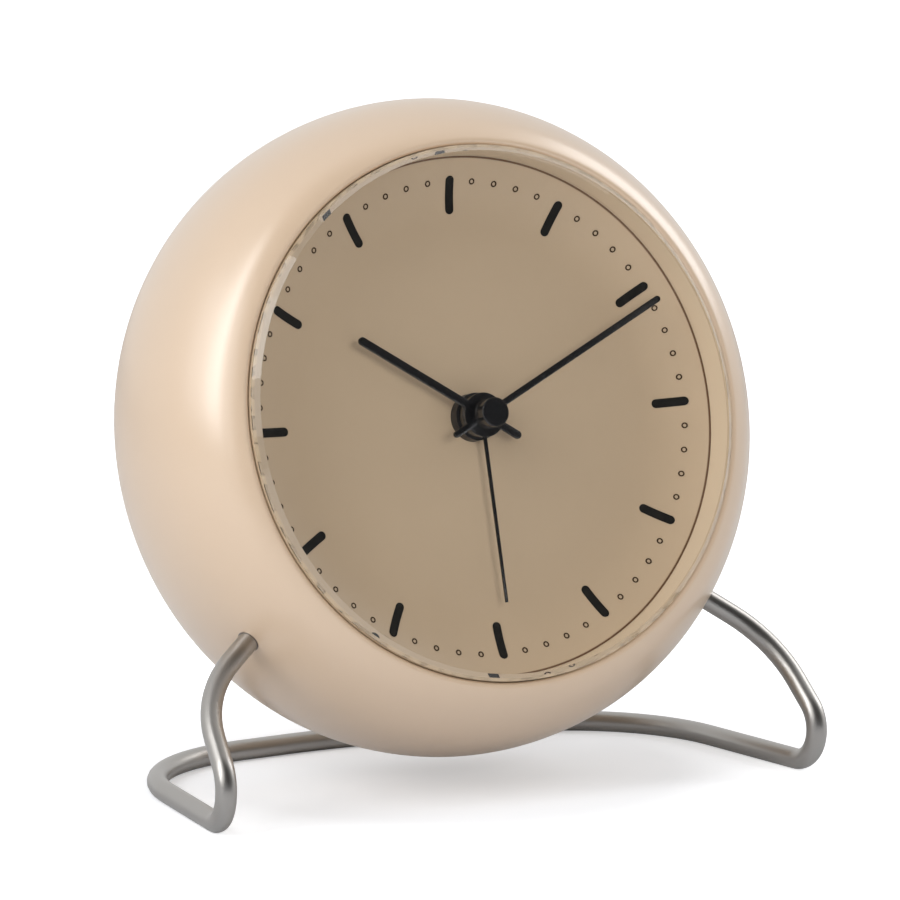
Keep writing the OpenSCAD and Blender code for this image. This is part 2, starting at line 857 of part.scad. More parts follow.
module lens_gasket() {
    color("#e8d8c4")
        in_case()
            tube(ring_outer_r, ring_inner_r + ring_flare, ring_top_z, lens_back_z);
}

module dial_ring() {
    color("#e6d6bd")
        in_case()
            difference() {
                bar(ring_outer_r, dial_edge_z, ring_top_z);
                translate([0, 0, dial_edge_z])
                    cylinder(r1 = ring_inner_r, r2 = ring_inner_r + ring_flare, h = ring_top_z - dial_edge_z);
                bar(ring_inner_r, dial_edge_z - overrun, ring_top_z + overrun);
            }
}

// Band between two radii round the dish's arc, from the dish's start to the dial's edge
module dish_section(near_r, far_r) {
    intersection() {
        translate([dish_start_r, dish_c_z])
            difference() {
                circle(far_r);
                circle(near_r);
            }
        translate([dish_start_r, dish_c_z - far_r - overrun])
            square([dial_r - dish_start_r, far_r + overrun]);
    }
}

module dial() {
    color("#b9a283")
        in_case()
            rotate_extrude() {
                translate([bush_r + fit_gap, carrier_front_z])
                    square([dish_start_r - bush_r - fit_gap, dial_t]);
                dish_section(dish_arc_r, dish_arc_r + dial_t);
            }
}

// Keeps the part of its children that lies within the ink's thickness on the dish
module printed_on_dish() {
    intersection() {
        rotate_extrude()
            dish_section(dish_arc_r - print_t, dish_arc_r);
        translate([0, 0, -dial_depth - overrun])
            linear_extrude(dial_edge_z + dial_depth + 2 * overrun)
                children();
    }
}

module hour_markers() {
    color("#17181a")
        in_case()
            for (hour = [1:12])
                at_clock(hour * 30)
                    printed_on_dish()
                        capsule(marker_w, marker_inner_r, marker_outer_r);
}

module minute_dots() {
    color("#3a2c1c")
        in_case()
            printed_on_dish()
                for (minute = [0:59])
                    if (minute % 5 != 0)
                        at_clock(minute * 6)
                            translate([0, dots_r])
                                difference() {
                                    circle(dot_d / 2, $fn = fine_fn);
                                    circle(dot_d / 2 - dot_line, $fn = fine_fn);
                                }
}

module dial_carrier() {
    wall = carrier_r - dial_r - fit_gap;
    color("#cfc4b4")
        in_case()
            difference() {
                union() {
                    bar(carrier_r, carrier_back_z, carrier_front_z);
                    tube(carrier_r, carrier_r - wall, carrier_front_z, dial_edge_z);
                }
                bar(bush_r + fit_gap, carrier_back_z - overrun, carrier_front_z + overrun);
                at_carrier_screws()
                    bar(small_screw_r + fit_gap, carrier_back_z - overrun, carrier_front_z + overrun);
                at_movement_screws()
                    bar(small_screw_r + fit_gap, carrier_back_z - overrun, carrier_front_z + overrun);
            }
}

module carrier_screws() {
    color("#8f8c88")
        in_case()
            at_carrier_screws()
                screw(small_screw_r, small_head_r, small_head_h, carrier_back_z - ledge_t, carrier_front_z);
}

module hour_hand() {
    color("#141518")
        in_case()
            difference() {
                union() {
                    bar(hour_boss_r, hour_boss_z, hour_boss_z + hand_t);
                    translate([0, 0, hour_boss_z])
                        linear_extrude(hand_t)
                            at_clock(hour_angle)
                                capsule(hour_w, -hour_tail, hour_len);
                }
                bar(hour_tube_r + fit_gap, hour_boss_z - overrun, hour_boss_z + hand_t + overrun);
            }
}

module minute_hand() {
    color("#141518")
        in_case()
            difference() {
                union() {
                    bar(cap_r, collar_z, collar_top_z);
                    translate([0, 0, minute_hand_z])
                        linear_extrude(hand_t)
                            at_clock(minute_angle)
                                capsule(minute_w, -minute_tail, minute_len);
                }
                bar(minute_arbor_r + fit_gap, collar_z - overrun, collar_top_z + overrun);
            }
}

module alarm_hand() {
    color("#141518")
        in_case()
            difference() {
                union() {
                    bar(alarm_boss_r, alarm_boss_z, alarm_boss_z + alarm_boss_h);
                    translate([0, 0, alarm_boss_z + alarm_boss_h - alarm_hand_t])
                        linear_extrude(alarm_hand_t)
                            at_clock(alarm_angle)
                                polygon([
                                    [-alarm_root_w / 2, 0],
                                    [alarm_root_w / 2, 0],
                                    [alarm_tip_w / 2, alarm_len],
                                    [-alarm_tip_w / 2, alarm_len],
                                ]);
                }
                bar(alarm_tube_r + fit_gap, alarm_boss_z - overrun, alarm_boss_z + alarm_boss_h + overrun);
            }
}

module hand_cap() {
    color("#141518")
        in_case() {
            bar(cap_r, collar_top_z, cap_top - cap_chamfer);
            translate([0, 0, cap_top - cap_chamfer])
                cylinder(r1 = cap_r, r2 = cap_r - cap_chamfer, h = cap_chamfer);
        }
}

// Square with rounded corners
module rounded_square(side, r) {
    reach = side / 2 - r;
    square([side, side - 2 * r], center = true);
    square([side - 2 * r, side], center = true);
    for (x = [-reach, reach])
        for (y = [-reach, reach])
            translate([x, y])
                circle(r, $fn = fine_fn);
}

// Rounded block of the movement's outline, moved in by inset
module movement_block(inset, z0, z1) {
    translate([0, 0, z0])
        linear_extrude(z1 - z0)
            rounded_square(movement_side - 2 * inset, movement_corner_r - inset);
}

module movement_base() {
    color("#d8d5cf")
        in_case()
            difference() {
                union() {
                    difference() {
                        movement_block(0, movement_split_z, carrier_back_z);
                        movement_block(movement_wall, movement_split_z - overrun, front_plate_z);
                    }
                    bar(bush_r, front_plate_z, bush_top_z);
                    at_movement_screws()
                        bar(small_head_r + fit_gap, train_plate_z + train_plate_t, front_plate_z);
                }
                bar(alarm_tube_r + run_gap, front_plate_z - overrun, bush_top_z + overrun);
                for (axis = [time_axis, alarm_axis])
                    translate(axis)
                        bar(arbor_r + run_gap, front_plate_z - overrun,
                            front_plate_z + pivot_depth + run_gap);
                at_movement_screws()
                    bar(small_screw_r + fit_gap, movement_split_z - overrun, carrier_back_z + overrun);
            }
}

module movement_cover() {
    color("#c8ccd0")
        in_case()
            difference() {
                union() {
                    difference() {
                        movement_block(0, movement_back_z, movement_split_z);
                        movement_block(movement_wall, back_plate_z, movement_split_z + overrun);
                    }
                    at_movement_screws()
                        bar(small_head_r + fit_gap, back_plate_z, train_plate_z);
                }
                at_movement_screws()
                    bar(small_screw_r + fit_gap, movement_back_z - overrun, train_plate_z + overrun);
                for (axis = [time_axis, alarm_axis])
                    translate(axis)
                        bar(set_shaft_r + run_gap, movement_back_z - overrun, back_plate_z + overrun);
                for (axis = [[0, 0], third_axis, fourth_axis, fifth_axis, rotor_axis])
                    translate(axis)
                        bar((axis == [0, 0] ? minute_arbor_r : arbor_r) + run_gap,
                            back_plate_z - pivot_depth - run_gap, back_plate_z + overrun);
            }
}

module movement_screws() {
    color("#8f8c88")
        in_case()
            at_movement_screws()
                screw(small_screw_r, small_head_r, small_head_h, movement_back_z, carrier_front_z);
}

module train_plate() {
    stud_r = minute_arbor_r;
    color("#e8e2cf")
        in_case()
            difference() {
                union() {
                    movement_block(movement_wall + fit_gap, train_plate_z, train_plate_z + train_plate_t);
                    translate(minute_axis)
                        bar(stud_r, train_plate_z, hour_wheel_z + thick_wheel_t + pinion_extra);
                    for (place = stator_post_places)
                        translate(place)
                            bar(small_screw_r, train_plate_z - stator_posts_h, train_plate_z);
                }
                bar(minute_arbor_r + run_gap, train_plate_z - overrun,
                    train_plate_z + train_plate_t + overrun);
                for (axis = [third_axis, fourth_axis, fifth_axis, rotor_axis])
                    translate(axis)
                        bar(arbor_r + run_gap, train_plate_z - overrun,
                            train_plate_z + train_plate_t + overrun);
                for (axis = [time_axis, alarm_axis])
                    translate(axis)
                        bar(set_shaft_r + shaft_hole_gap, train_plate_z - overrun,
                            train_plate_z + train_plate_t + overrun);
                at_movement_screws()
                    bar(small_screw_r + fit_gap, train_plate_z - overrun,
                        train_plate_z + train_plate_t + overrun);
            }
}

// Corners of one tooth, as pairs of a share of the pitch angle and a radius in modules
function tooth(teeth) = [
    [-tooth_root_share, teeth / 2 - tooth_depth_share],
    [-tooth_tip_share, teeth / 2 + tooth_height_share],
    [tooth_tip_share, teeth / 2 + tooth_height_share],
    [tooth_root_share, teeth / 2 - tooth_depth_share],
];

// Gear with a tooth in the direction of angle
module gear(teeth, size, angle, z0, z1) {
    pitch = 360 / teeth;
    translate([0, 0, z0])
        linear_extrude(z1 - z0)
            rotate([0, 0, angle])
                polygon([
                    for (i = [0:teeth - 1])
                        for (corner = tooth(teeth))
                            size * corner[1] * [cos((i + corner[0]) * pitch), sin((i + corner[0]) * pitch)]
                ]);
}

// Angle of a gear whose gap takes the tooth that its mate points at it from direction
function mate_angle(direction, teeth) = direction + 180 + 180 / teeth;

module cannon_pinion() {
    color("#c9a24b")
        in_case() {
            bar(minute_arbor_r, back_plate_z - pivot_depth, collar_top_z);
            gear(cannon_teeth, motion_module, minute_axis_angle,
                minute_wheel_z - pinion_extra, minute_wheel_z + thick_wheel_t + pinion_extra);
        }
}

module minute_wheel() {
    top = hour_wheel_z + thick_wheel_t + pinion_extra;
    bore = minute_arbor_r + run_gap;
    color("#efe9dc")
        in_case()
            translate(minute_axis)
                difference() {
                    union() {
                        gear(minute_teeth, motion_module, mate_angle(minute_axis_angle, minute_teeth),
                            minute_wheel_z, minute_wheel_z + thick_wheel_t);
                        gear(minute_pinion_teeth, hour_module,
                            minute_axis_angle + 180, minute_wheel_z, top);
                    }
                    bar(bore, minute_wheel_z - overrun, top + overrun);
                }
}

module hour_wheel() {
    bore = minute_arbor_r + run_gap;
    top = hour_boss_z + hand_t - fit_gap;
    color("#efe9dc")
        in_case()
            difference() {
                union() {
                    gear(hour_teeth, hour_module, mate_angle(minute_axis_angle + 180, hour_teeth),
                        hour_wheel_z, hour_wheel_z + thick_wheel_t);
                    bar(hour_tube_r, hour_wheel_z, top);
                }
                bar(bore, hour_wheel_z - overrun, top + overrun);
            }
}

module alarm_wheel() {
    bore = hour_tube_r + run_gap;
    top = alarm_boss_z + alarm_boss_h - fit_gap;
    color("#efe9dc")
        in_case()
            difference() {
                union() {
                    gear(alarm_teeth, alarm_set_module, knob_angle,
                        alarm_wheel_z, alarm_wheel_z + alarm_wheel_t);
                    bar(alarm_tube_r, alarm_wheel_z, top);
                }
                bar(bore, alarm_wheel_z - overrun, top + overrun);
            }
}

// Wheel of the train with its pinion in front of it, from pinion_z forwards, and its arbor
module train_wheel(teeth, angle, z, pinion_direction, pinion_z) {
    gear(teeth, train_module, angle, z, z + wheel_t);
    gear(pinion_teeth, train_module, mate_angle(pinion_direction,
        pinion_teeth), z, pinion_z + wheel_t + pinion_extra);
    bar(arbor_r, back_plate_z - pivot_depth, train_plate_z + train_plate_t - pivot_depth);
}

module centre_wheel() {
    color("#c9a24b")
        in_case()
            difference() {
                gear(centre_teeth, train_module, third_angle, centre_wheel_z, centre_wheel_z + wheel_t);
                bar(minute_arbor_r + run_gap, centre_wheel_z - overrun, centre_wheel_z + wheel_t + overrun);
            }
}

module third_wheel() {
    color("#efe9dc")
        in_case()
            translate(third_axis)
                train_wheel(third_teeth, fourth_angle, third_wheel_z, third_angle, centre_wheel_z);
}

module fourth_wheel() {
    color("#efe9dc")
        in_case()
            translate(fourth_axis)
                train_wheel(fourth_teeth, fifth_angle, fourth_wheel_z, fourth_angle, third_wheel_z);
}

module fifth_wheel() {
    color("#efe9dc")
        in_case()
            translate(fifth_axis)
                train_wheel(fifth_teeth, rotor_angle, fifth_wheel_z, fifth_angle, fourth_wheel_z);
}

module rotor_pinion() {
    magnet_z = stator_z + stator_t / 2;
    color("#e9e6e0")
        in_case()
            translate(rotor_axis) {
                gear(pinion_teeth, train_module, mate_angle(rotor_angle, pinion_teeth),
                    fifth_wheel_z - pinion_extra, fifth_wheel_z + wheel_t + pinion_extra);
                bar(arbor_r, back_plate_z - pivot_depth, magnet_z - magnet_h / 2);
                bar(arbor_r, magnet_z + magnet_h / 2, train_plate_z + train_plate_t - pivot_depth);
                bar(arbor_r, magnet_z - magnet_h / 2, magnet_z + magnet_h / 2);
            }
}

module rotor_magnet() {
    magnet_z = stator_z + stator_t / 2;
    color("#45484d")
        in_case()
            translate(rotor_axis)
                tube(magnet_r, arbor_r, magnet_z - magnet_h / 2, magnet_z + magnet_h / 2);
}

// Legs of the stator, which reach the core, and the posts of the plate that carry it
left_leg_x = coil_left_x + leg_w / 2;
right_leg_x = coil_right_x - leg_w / 2;
stator_post_places = [[left_leg_x, core_y], [right_leg_x, rotor_axis.y]];

module stator() {
    yoke_bottom = core_y + coil_r + 2 * stator_air + stator_air;
    yoke_left = fifth_axis.x + train_module * (pinion_teeth / 2 + 1) + stator_air;
    arm_y = rotor_axis.y - magnet_r - stator_air;
    color("#8b8f94")
        in_case()
            translate([0, 0, stator_z])
                linear_extrude(stator_t)
                    difference() {
                        union() {
                            for (x = [coil_left_x, coil_right_x - leg_w])
                                translate([x, core_y - core_w / 2])
                                    square([leg_w, arm_y - core_y + core_w / 2]);
                            translate([coil_left_x, arm_y - core_w])
                                square([coil_right_x - coil_left_x, core_w]);
                            translate([yoke_left, arm_y - core_w])
                                square([coil_right_x - yoke_left, 2 * (rotor_axis.y - arm_y) + 1.5 * core_w]);
                        }
                        translate(rotor_axis)
                            circle(magnet_r + stator_air);
                    }
}

module coil_core() {
    color("#8b8f94")
        in_case()
            translate([coil_left_x, core_y - core_w / 2, stator_z - stator_t])
                cube([coil_right_x - coil_left_x, core_w, stator_t]);
}

module coil() {
    mid_x = (coil_left_x + coil_right_x) / 2;
    color("#b5622e")
        in_case()
            translate([mid_x, core_y, stator_z - stator_t / 2])
                rotate([0, 90, 0])
                    difference() {
                        bar(coil_r, -coil_len / 2, coil_len / 2);
                        block([stator_t + 2 * fit_gap, core_w + 2 * fit_gap],
                            -coil_len / 2 - overrun, coil_len / 2 + overrun);
                    }
}

module circuit_board() {
    color("#2f6b45")
        in_case()
            translate([0, board_mid_y, 0])
                block([board_x, board_y], back_plate_z, back_plate_z + board_t);
}

module control_chip() {
    color("#222326")
        in_case()
            translate([chip_x, board_mid_y, 0])
                block([chip_side, chip_side], back_plate_z + board_t, back_plate_z + board_t + chip_t);
}

module quartz_crystal() {
    color("#c4c6c8")
        in_case()
            translate([crystal_x, board_mid_y, back_plate_z + board_t + crystal_r])
                rotate([90, 0, 0])
                    bar(crystal_r, -crystal_len / 2, crystal_len / 2);
}

module alarm_contact() {
    color("#cfa15a")
        in_case()
            translate([alarm_boss_r * 2, -tab_r, 0])
                block([alarm_boss_r * 2, contact_side / 3], front_plate_z - strip_t, front_plate_z);
}

module buzzer() {
    color("#2a2b2e")
        in_case()
            translate(buzzer_place)
                tube(buzzer_r, sound_hole_r, cover_front_z, cover_front_z + buzzer_h);
}

module knob() {
    color("#d9c3ab")
        difference() {
            bar(knob_r, knob_base_z - knob_h, knob_base_z);
            for (i = [0:knob_grooves - 1])
                rotate([0, 0, i * 360 / knob_grooves])
                    translate([knob_r, 0, 0])
                        bar(knob_groove_r, knob_base_z - knob_h - overrun,
                            knob_base_z + overrun, $fn = fine_fn);
            bar(set_shaft_r, knob_base_z - knob_h / 2, knob_base_z + overrun);
        }
}

// Setting shaft with its pivot in the front plate
module setting_shaft(z1) {
    bar(set_shaft_r, knob_base_z - knob_h / 2, z1);
    bar(arbor_r, z1, front_plate_z + pivot_depth);
}

module time_set_knob() {
    in_case()
        translate(time_axis)
            knob();
}

module time_set_shaft() {
    direction = atan2(time_axis.y - minute_axis.y, time_axis.x - minute_axis.x);
    step = 360 / minute_teeth;
    // Turn of the minute wheel's nearest tooth away from the line to the setting shaft
    lag = (mate_angle(minute_axis_angle, minute_teeth) - direction) % step;
    color("#e9e6e0")
        in_case()
            translate(time_axis) {
                setting_shaft(minute_wheel_z + thick_wheel_t + pinion_extra);
                gear(cannon_teeth, motion_module,
                    mate_angle(direction, cannon_teeth) - lag * minute_teeth / cannon_teeth,
                    minute_wheel_z - pinion_extra, minute_wheel_z + thick_wheel_t + pinion_extra);
            }
}

module alarm_set_knob() {
    in_case()
        translate(alarm_axis)
            knob();
}

module alarm_set_shaft() {
    color("#e9e6e0")
        in_case()
            translate(alarm_axis) {
                setting_shaft(alarm_wheel_z + alarm_wheel_t);
                gear(alarm_set_teeth, alarm_set_module, mate_angle(knob_angle, alarm_set_teeth),
                    alarm_wheel_z - pinion_extra, alarm_wheel_z + alarm_wheel_t);
            }
}

module alarm_switch() {
    flange_z = cover_front_z + body_gap;
    color("#2a2b2e")
        in_case()
            translate([-switch_travel / 2, switch_y, 0]) {
                block([switch_w, switch_h], cover_back_z - switch_stand_out, flange_z);
                block(2 * [switch_flange_half_x, switch_flange_half_y], flange_z, flange_z + switch_flange_t);
            }
}

module alarm_switch_body() {
    room = 2 * [switch_flange_half_x + switch_travel / 2 + body_gap, switch_flange_half_y + body_gap];
    color("#3a3c40")
        in_case()
            translate([0, switch_y, 0])
                difference() {
                    block([switch_body_x, switch_body_y], cover_front_z, cover_front_z + switch_body_z);
                    block(room, cover_front_z - overrun, cover_front_z + switch_flange_t + 2 * body_gap);
                }
}

// Height of the tact switch's plunger, which the button's stem stops short of
plunger_z = movement_back_z - tact_h - plunger_h;

module snooze_button() {
    flange_z = cover_front_z + body_gap;
    color("#d9c3ab")
        in_case()
            translate([0, button_y, 0]) {
                bar(button_r, cover_back_z - button_stand_out, flange_z);
                bar(button_r + button_flange, flange_z, flange_z + button_flange_t);
                bar(button_stem_r, flange_z + button_flange_t, plunger_z - button_travel - body_gap);
            }
}

module snooze_switch() {
    color("#2a2b2e")
        in_case()
            translate([0, button_y, 0]) {
                block([tact_side, tact_side], movement_back_z - tact_h, movement_back_z);
                bar(plunger_r, plunger_z, movement_back_z - tact_h);
            }
}

module battery() {
    half = battery_len / 2;
    color("#b07b2c")
        in_case()
            translate([battery_x, -battery_drop, battery_z])
                rotate([0, 90, 0]) {
                    bar(battery_d / 2, -half, half);
                    bar(battery_nub_r, half, half + battery_nub_h);
                }
}

// Plate of a battery contact against the tray's end wall at x, on the side that side names
module contact_plate(x, side) {
    translate([x + side * contact_t / 2, -battery_drop, battery_z])
        cube([contact_t, contact_side, contact_side], center = true);
}

module battery_plus_contact() {
    color("#cdbd8a")
        in_case()
            contact_plate(tray_half_x, -1);
}

module battery_minus_contact() {
    bow_h = contact_bow - 2 * contact_t;
    bow_r = (pow(contact_side / 3, 2) + pow(bow_h, 2)) / 2 / bow_h;
    color("#cdbd8a")
        in_case() {
            contact_plate(-tray_half_x, 1);
            intersection() {
                translate([contact_bow - contact_t - tray_half_x - bow_r, -battery_drop, battery_z])
                    rotate([90, 0, 0])
                        tube(bow_r, bow_r - contact_t / 2, -contact_side / 4, contact_side / 4);
                translate([
                    contact_t - tray_half_x,
                    -battery_drop - contact_side / 2,
                    battery_z - contact_side / 2,
                ])
                    cube([contact_side, contact_side, contact_side]);
            }
        }
}

module battery_door() {
    top_y = -battery_drop + door_half_y;
    grip_w = contact_side;
    color("#d9c3ab")
        in_case()
            difference() {
                union() {
                    translate([-door_half_x, hinge_y, cover_back_z])
                        cube([2 * door_half_x, top_y - hinge_y, door_t]);
                    translate([0, hinge_y, hinge_z])
                        rotate([0, 90, 0]) {
                            bar(door_t / 2, -door_half_x, door_half_x);
                            bar(hinge_r, -door_half_x - hinge_len - door_gap,
                                door_half_x + hinge_len + door_gap);
                        }
                }
                translate([-grip_w / 2, top_y - hinge_len, cover_back_z - overrun])
                    cube([grip_w, hinge_len + overrun, door_t + 2 * overrun]);
            }
}

housing();
rear_cover();
rear_cover_screws();
stand();
stand_screws();
stand_washers();
lens();
lens_gasket();
dial_ring();
dial();
hour_markers();
minute_dots();
dial_carrier();
carrier_screws();
hour_hand();
minute_hand();
alarm_hand();
hand_cap();
movement_base();
movement_cover();
movement_screws();
train_plate();
cannon_pinion();
minute_wheel();
hour_wheel();
alarm_wheel();
centre_wheel();
third_wheel();
fourth_wheel();
fifth_wheel();
rotor_pinion();
rotor_magnet();
stator();
coil_core();
coil();
circuit_board();
control_chip();
quartz_crystal();
alarm_contact();
buzzer();
time_set_knob();
time_set_shaft();
alarm_set_knob();
alarm_set_shaft();
alarm_switch();
alarm_switch_body();
snooze_button();
snooze_switch();
battery();
battery_plus_contact();
battery_minus_contact();
battery_door();
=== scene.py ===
"""Looks of the round table alarm clock: its meshes, finishes, studio and camera."""

import logging
import math
from dataclasses import dataclass, field
from enum import Enum
from typing import Any, Callable, Iterable, Sequence

import bmesh
import bpy
from mathutils import Matrix, Vector


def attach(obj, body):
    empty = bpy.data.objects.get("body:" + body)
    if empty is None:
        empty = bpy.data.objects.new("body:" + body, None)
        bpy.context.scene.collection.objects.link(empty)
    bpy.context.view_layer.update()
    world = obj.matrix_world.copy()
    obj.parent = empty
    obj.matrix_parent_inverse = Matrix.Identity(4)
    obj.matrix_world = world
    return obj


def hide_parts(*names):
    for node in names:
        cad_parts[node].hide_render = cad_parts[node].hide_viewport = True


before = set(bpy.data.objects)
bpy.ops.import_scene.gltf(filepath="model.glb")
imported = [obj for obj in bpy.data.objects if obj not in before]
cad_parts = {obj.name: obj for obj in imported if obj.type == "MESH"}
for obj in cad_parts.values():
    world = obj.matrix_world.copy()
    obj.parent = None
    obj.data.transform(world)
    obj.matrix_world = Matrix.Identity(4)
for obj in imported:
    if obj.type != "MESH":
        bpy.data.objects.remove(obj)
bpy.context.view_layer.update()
MM = 0.001
Point = tuple[float, float]
Pair = tuple[float, float]
Triple = tuple[float, float, float]
Colour = Triple
log = logging.getLogger("clock")

# Curve between a screen's colours and linear ones: its straight part, then its power
SCREEN_KNEE, SCREEN_SLOPE, SCREEN_SHIFT, SCREEN_POWER = 0.04045, 12.92, 0.055, 2.4

# Rounding of an outline's corners: most of an edge that it takes, and the support point beside it
MOST_OF_EDGE, SUPPORT_SHARE, SUPPORT_MM = 0.4, 0.15, 0.05

# Angle in degrees above which an edge stays sharp, where a piece gives no other
SHARP = 32.0

# Width in millimetres over which the painted shade at a gap or an edge fades
SHADE_FADE_MM = 0.12

# Steps round the axis of the large turned pieces
TURNED = 224

# Radius in millimetres under which a turned profile ends in a tip
TIP_R = 1e-6


def painted(red: float, green: float, blue: float) -> Colour:
    """Turns a colour of 0 to 255, as a screen shows it, into the linear one that shaders use.

    Args:
        red: Red on the screen.
        green: Green on the screen.
        blue: Blue on the screen.

    Returns:
        The linear colour.
    """

    def linear(value: float) -> float:
        """Works out one channel.

        Args:
            value: The channel on the screen.

        Returns:
            Its linear value.
        """
        if value / 255 <= SCREEN_KNEE:
            return value / 255 / SCREEN_SLOPE
        return ((value / 255 + SCREEN_SHIFT) / (1 + SCREEN_SHIFT)) ** SCREEN_POWER

    return (linear(red), linear(green), linear(blue))


def shaded(colour: Colour, share: float) -> Colour:
    """Returns a colour made lighter or darker by a share."""
    return (colour[0] * share, colour[1] * share, colour[2] * share)


def way_to(azimuth: float, elevation: float) -> Vector:
    """Returns the way from the clock to a bearing and height in degrees, in the part's frame."""
    turn, rise = math.radians(azimuth), math.radians(elevation)
    return Vector((math.sin(turn) * math.cos(rise), -math.cos(turn) * math.cos(rise), math.sin(rise)))


def linked(name: str, data: bpy.types.ID) -> bpy.types.Object:
    """Makes an object with the data and links it to the scene.

    Args:
        name: Name of the object.
        data: Its mesh, light or camera.

    Returns:
        The object.
    """
    made = bpy.data.objects.new(name, data)
    bpy.context.scene.collection.objects.link(made)
    return made


@dataclass(frozen=True)
class CaseFrame:
    """Frame of the dial in millimetres: Z out of the dial, X to its right and Y up it."""

    tilt: float = 14.0
    height: float = 61.9
    forward: float = 13.3

    def matrix(self) -> Matrix:
        """Works out where the frame lies.

        Returns:
            The matrix from millimetres in the case frame to metres in the part's frame.
        """
        tilt = math.radians(self.tilt)
        place = Matrix.Translation((0, -self.forward * MM, self.height * MM))
        turn = Matrix.Rotation(math.pi / 2 - tilt, 4, "X")
        return place @ turn @ Matrix.Scale(MM, 4)


CASE = CaseFrame()
FLOOR = Matrix.Scale(MM, 4)


def arc(centre: Point, radius: float, start: float, end: float, steps: int) -> list[Point]:
    """Points on a circle's arc.

    Args:
        centre: Centre of the circle.
        radius: Its radius.
        start: Angle of the first point, in degrees.
        end: Angle of the last point, in degrees.
        steps: Number of steps between them.

    Returns:
        The points, both ends among them.
    """
    points = []
    for i in range(steps + 1):
        angle = math.radians(start + (end - start) * i / steps)
        points.append((centre[0] + radius * math.cos(angle), centre[1] + radius * math.sin(angle)))
    return points


def eased(corners: Sequence[Point], radius: float, steps: int = 3, closed: bool = True) -> list[Point]:
    """Rounds the corners of an outline, with a support point on each side of every corner.

    Args:
        corners: Corners of the outline.
        radius: Radius of the rounding, made smaller where an edge is too short.
        steps: Steps in each rounding.
        closed: Whether the outline closes on itself.

    Returns:
        The rounded outline.
    """
    count = len(corners)
    points: list[Point] = []
    for i, corner in enumerate(corners):
        if not closed and i in (0, count - 1):
            points.append(corner)
            continue
        here = Vector(corner)
        before = Vector(corners[i - 1]) - here
        after = Vector(corners[(i + 1) % count]) - here
        turn = math.pi - before.angle(after)
        most = MOST_OF_EDGE * min(before.length, after.length)
        reach = min(radius * math.tan(turn / 2), most)
        size = reach / math.tan(turn / 2)
        start = here + before.normalized() * reach
        end = here + after.normalized() * reach
        middle = here + (before.normalized() + after.normalized()).normalized() * (size / math.cos(turn / 2))
        support = min(SUPPORT_SHARE * reach, SUPPORT_MM)
        points.append(tuple(start + before.normalized() * support))
        for k in range(steps + 1):
            spoke = (start - middle).lerp(end - middle, k / steps)
            points.append(tuple(middle + spoke.normalized() * size))
        points.append(tuple(end + after.normalized() * support))
    return points


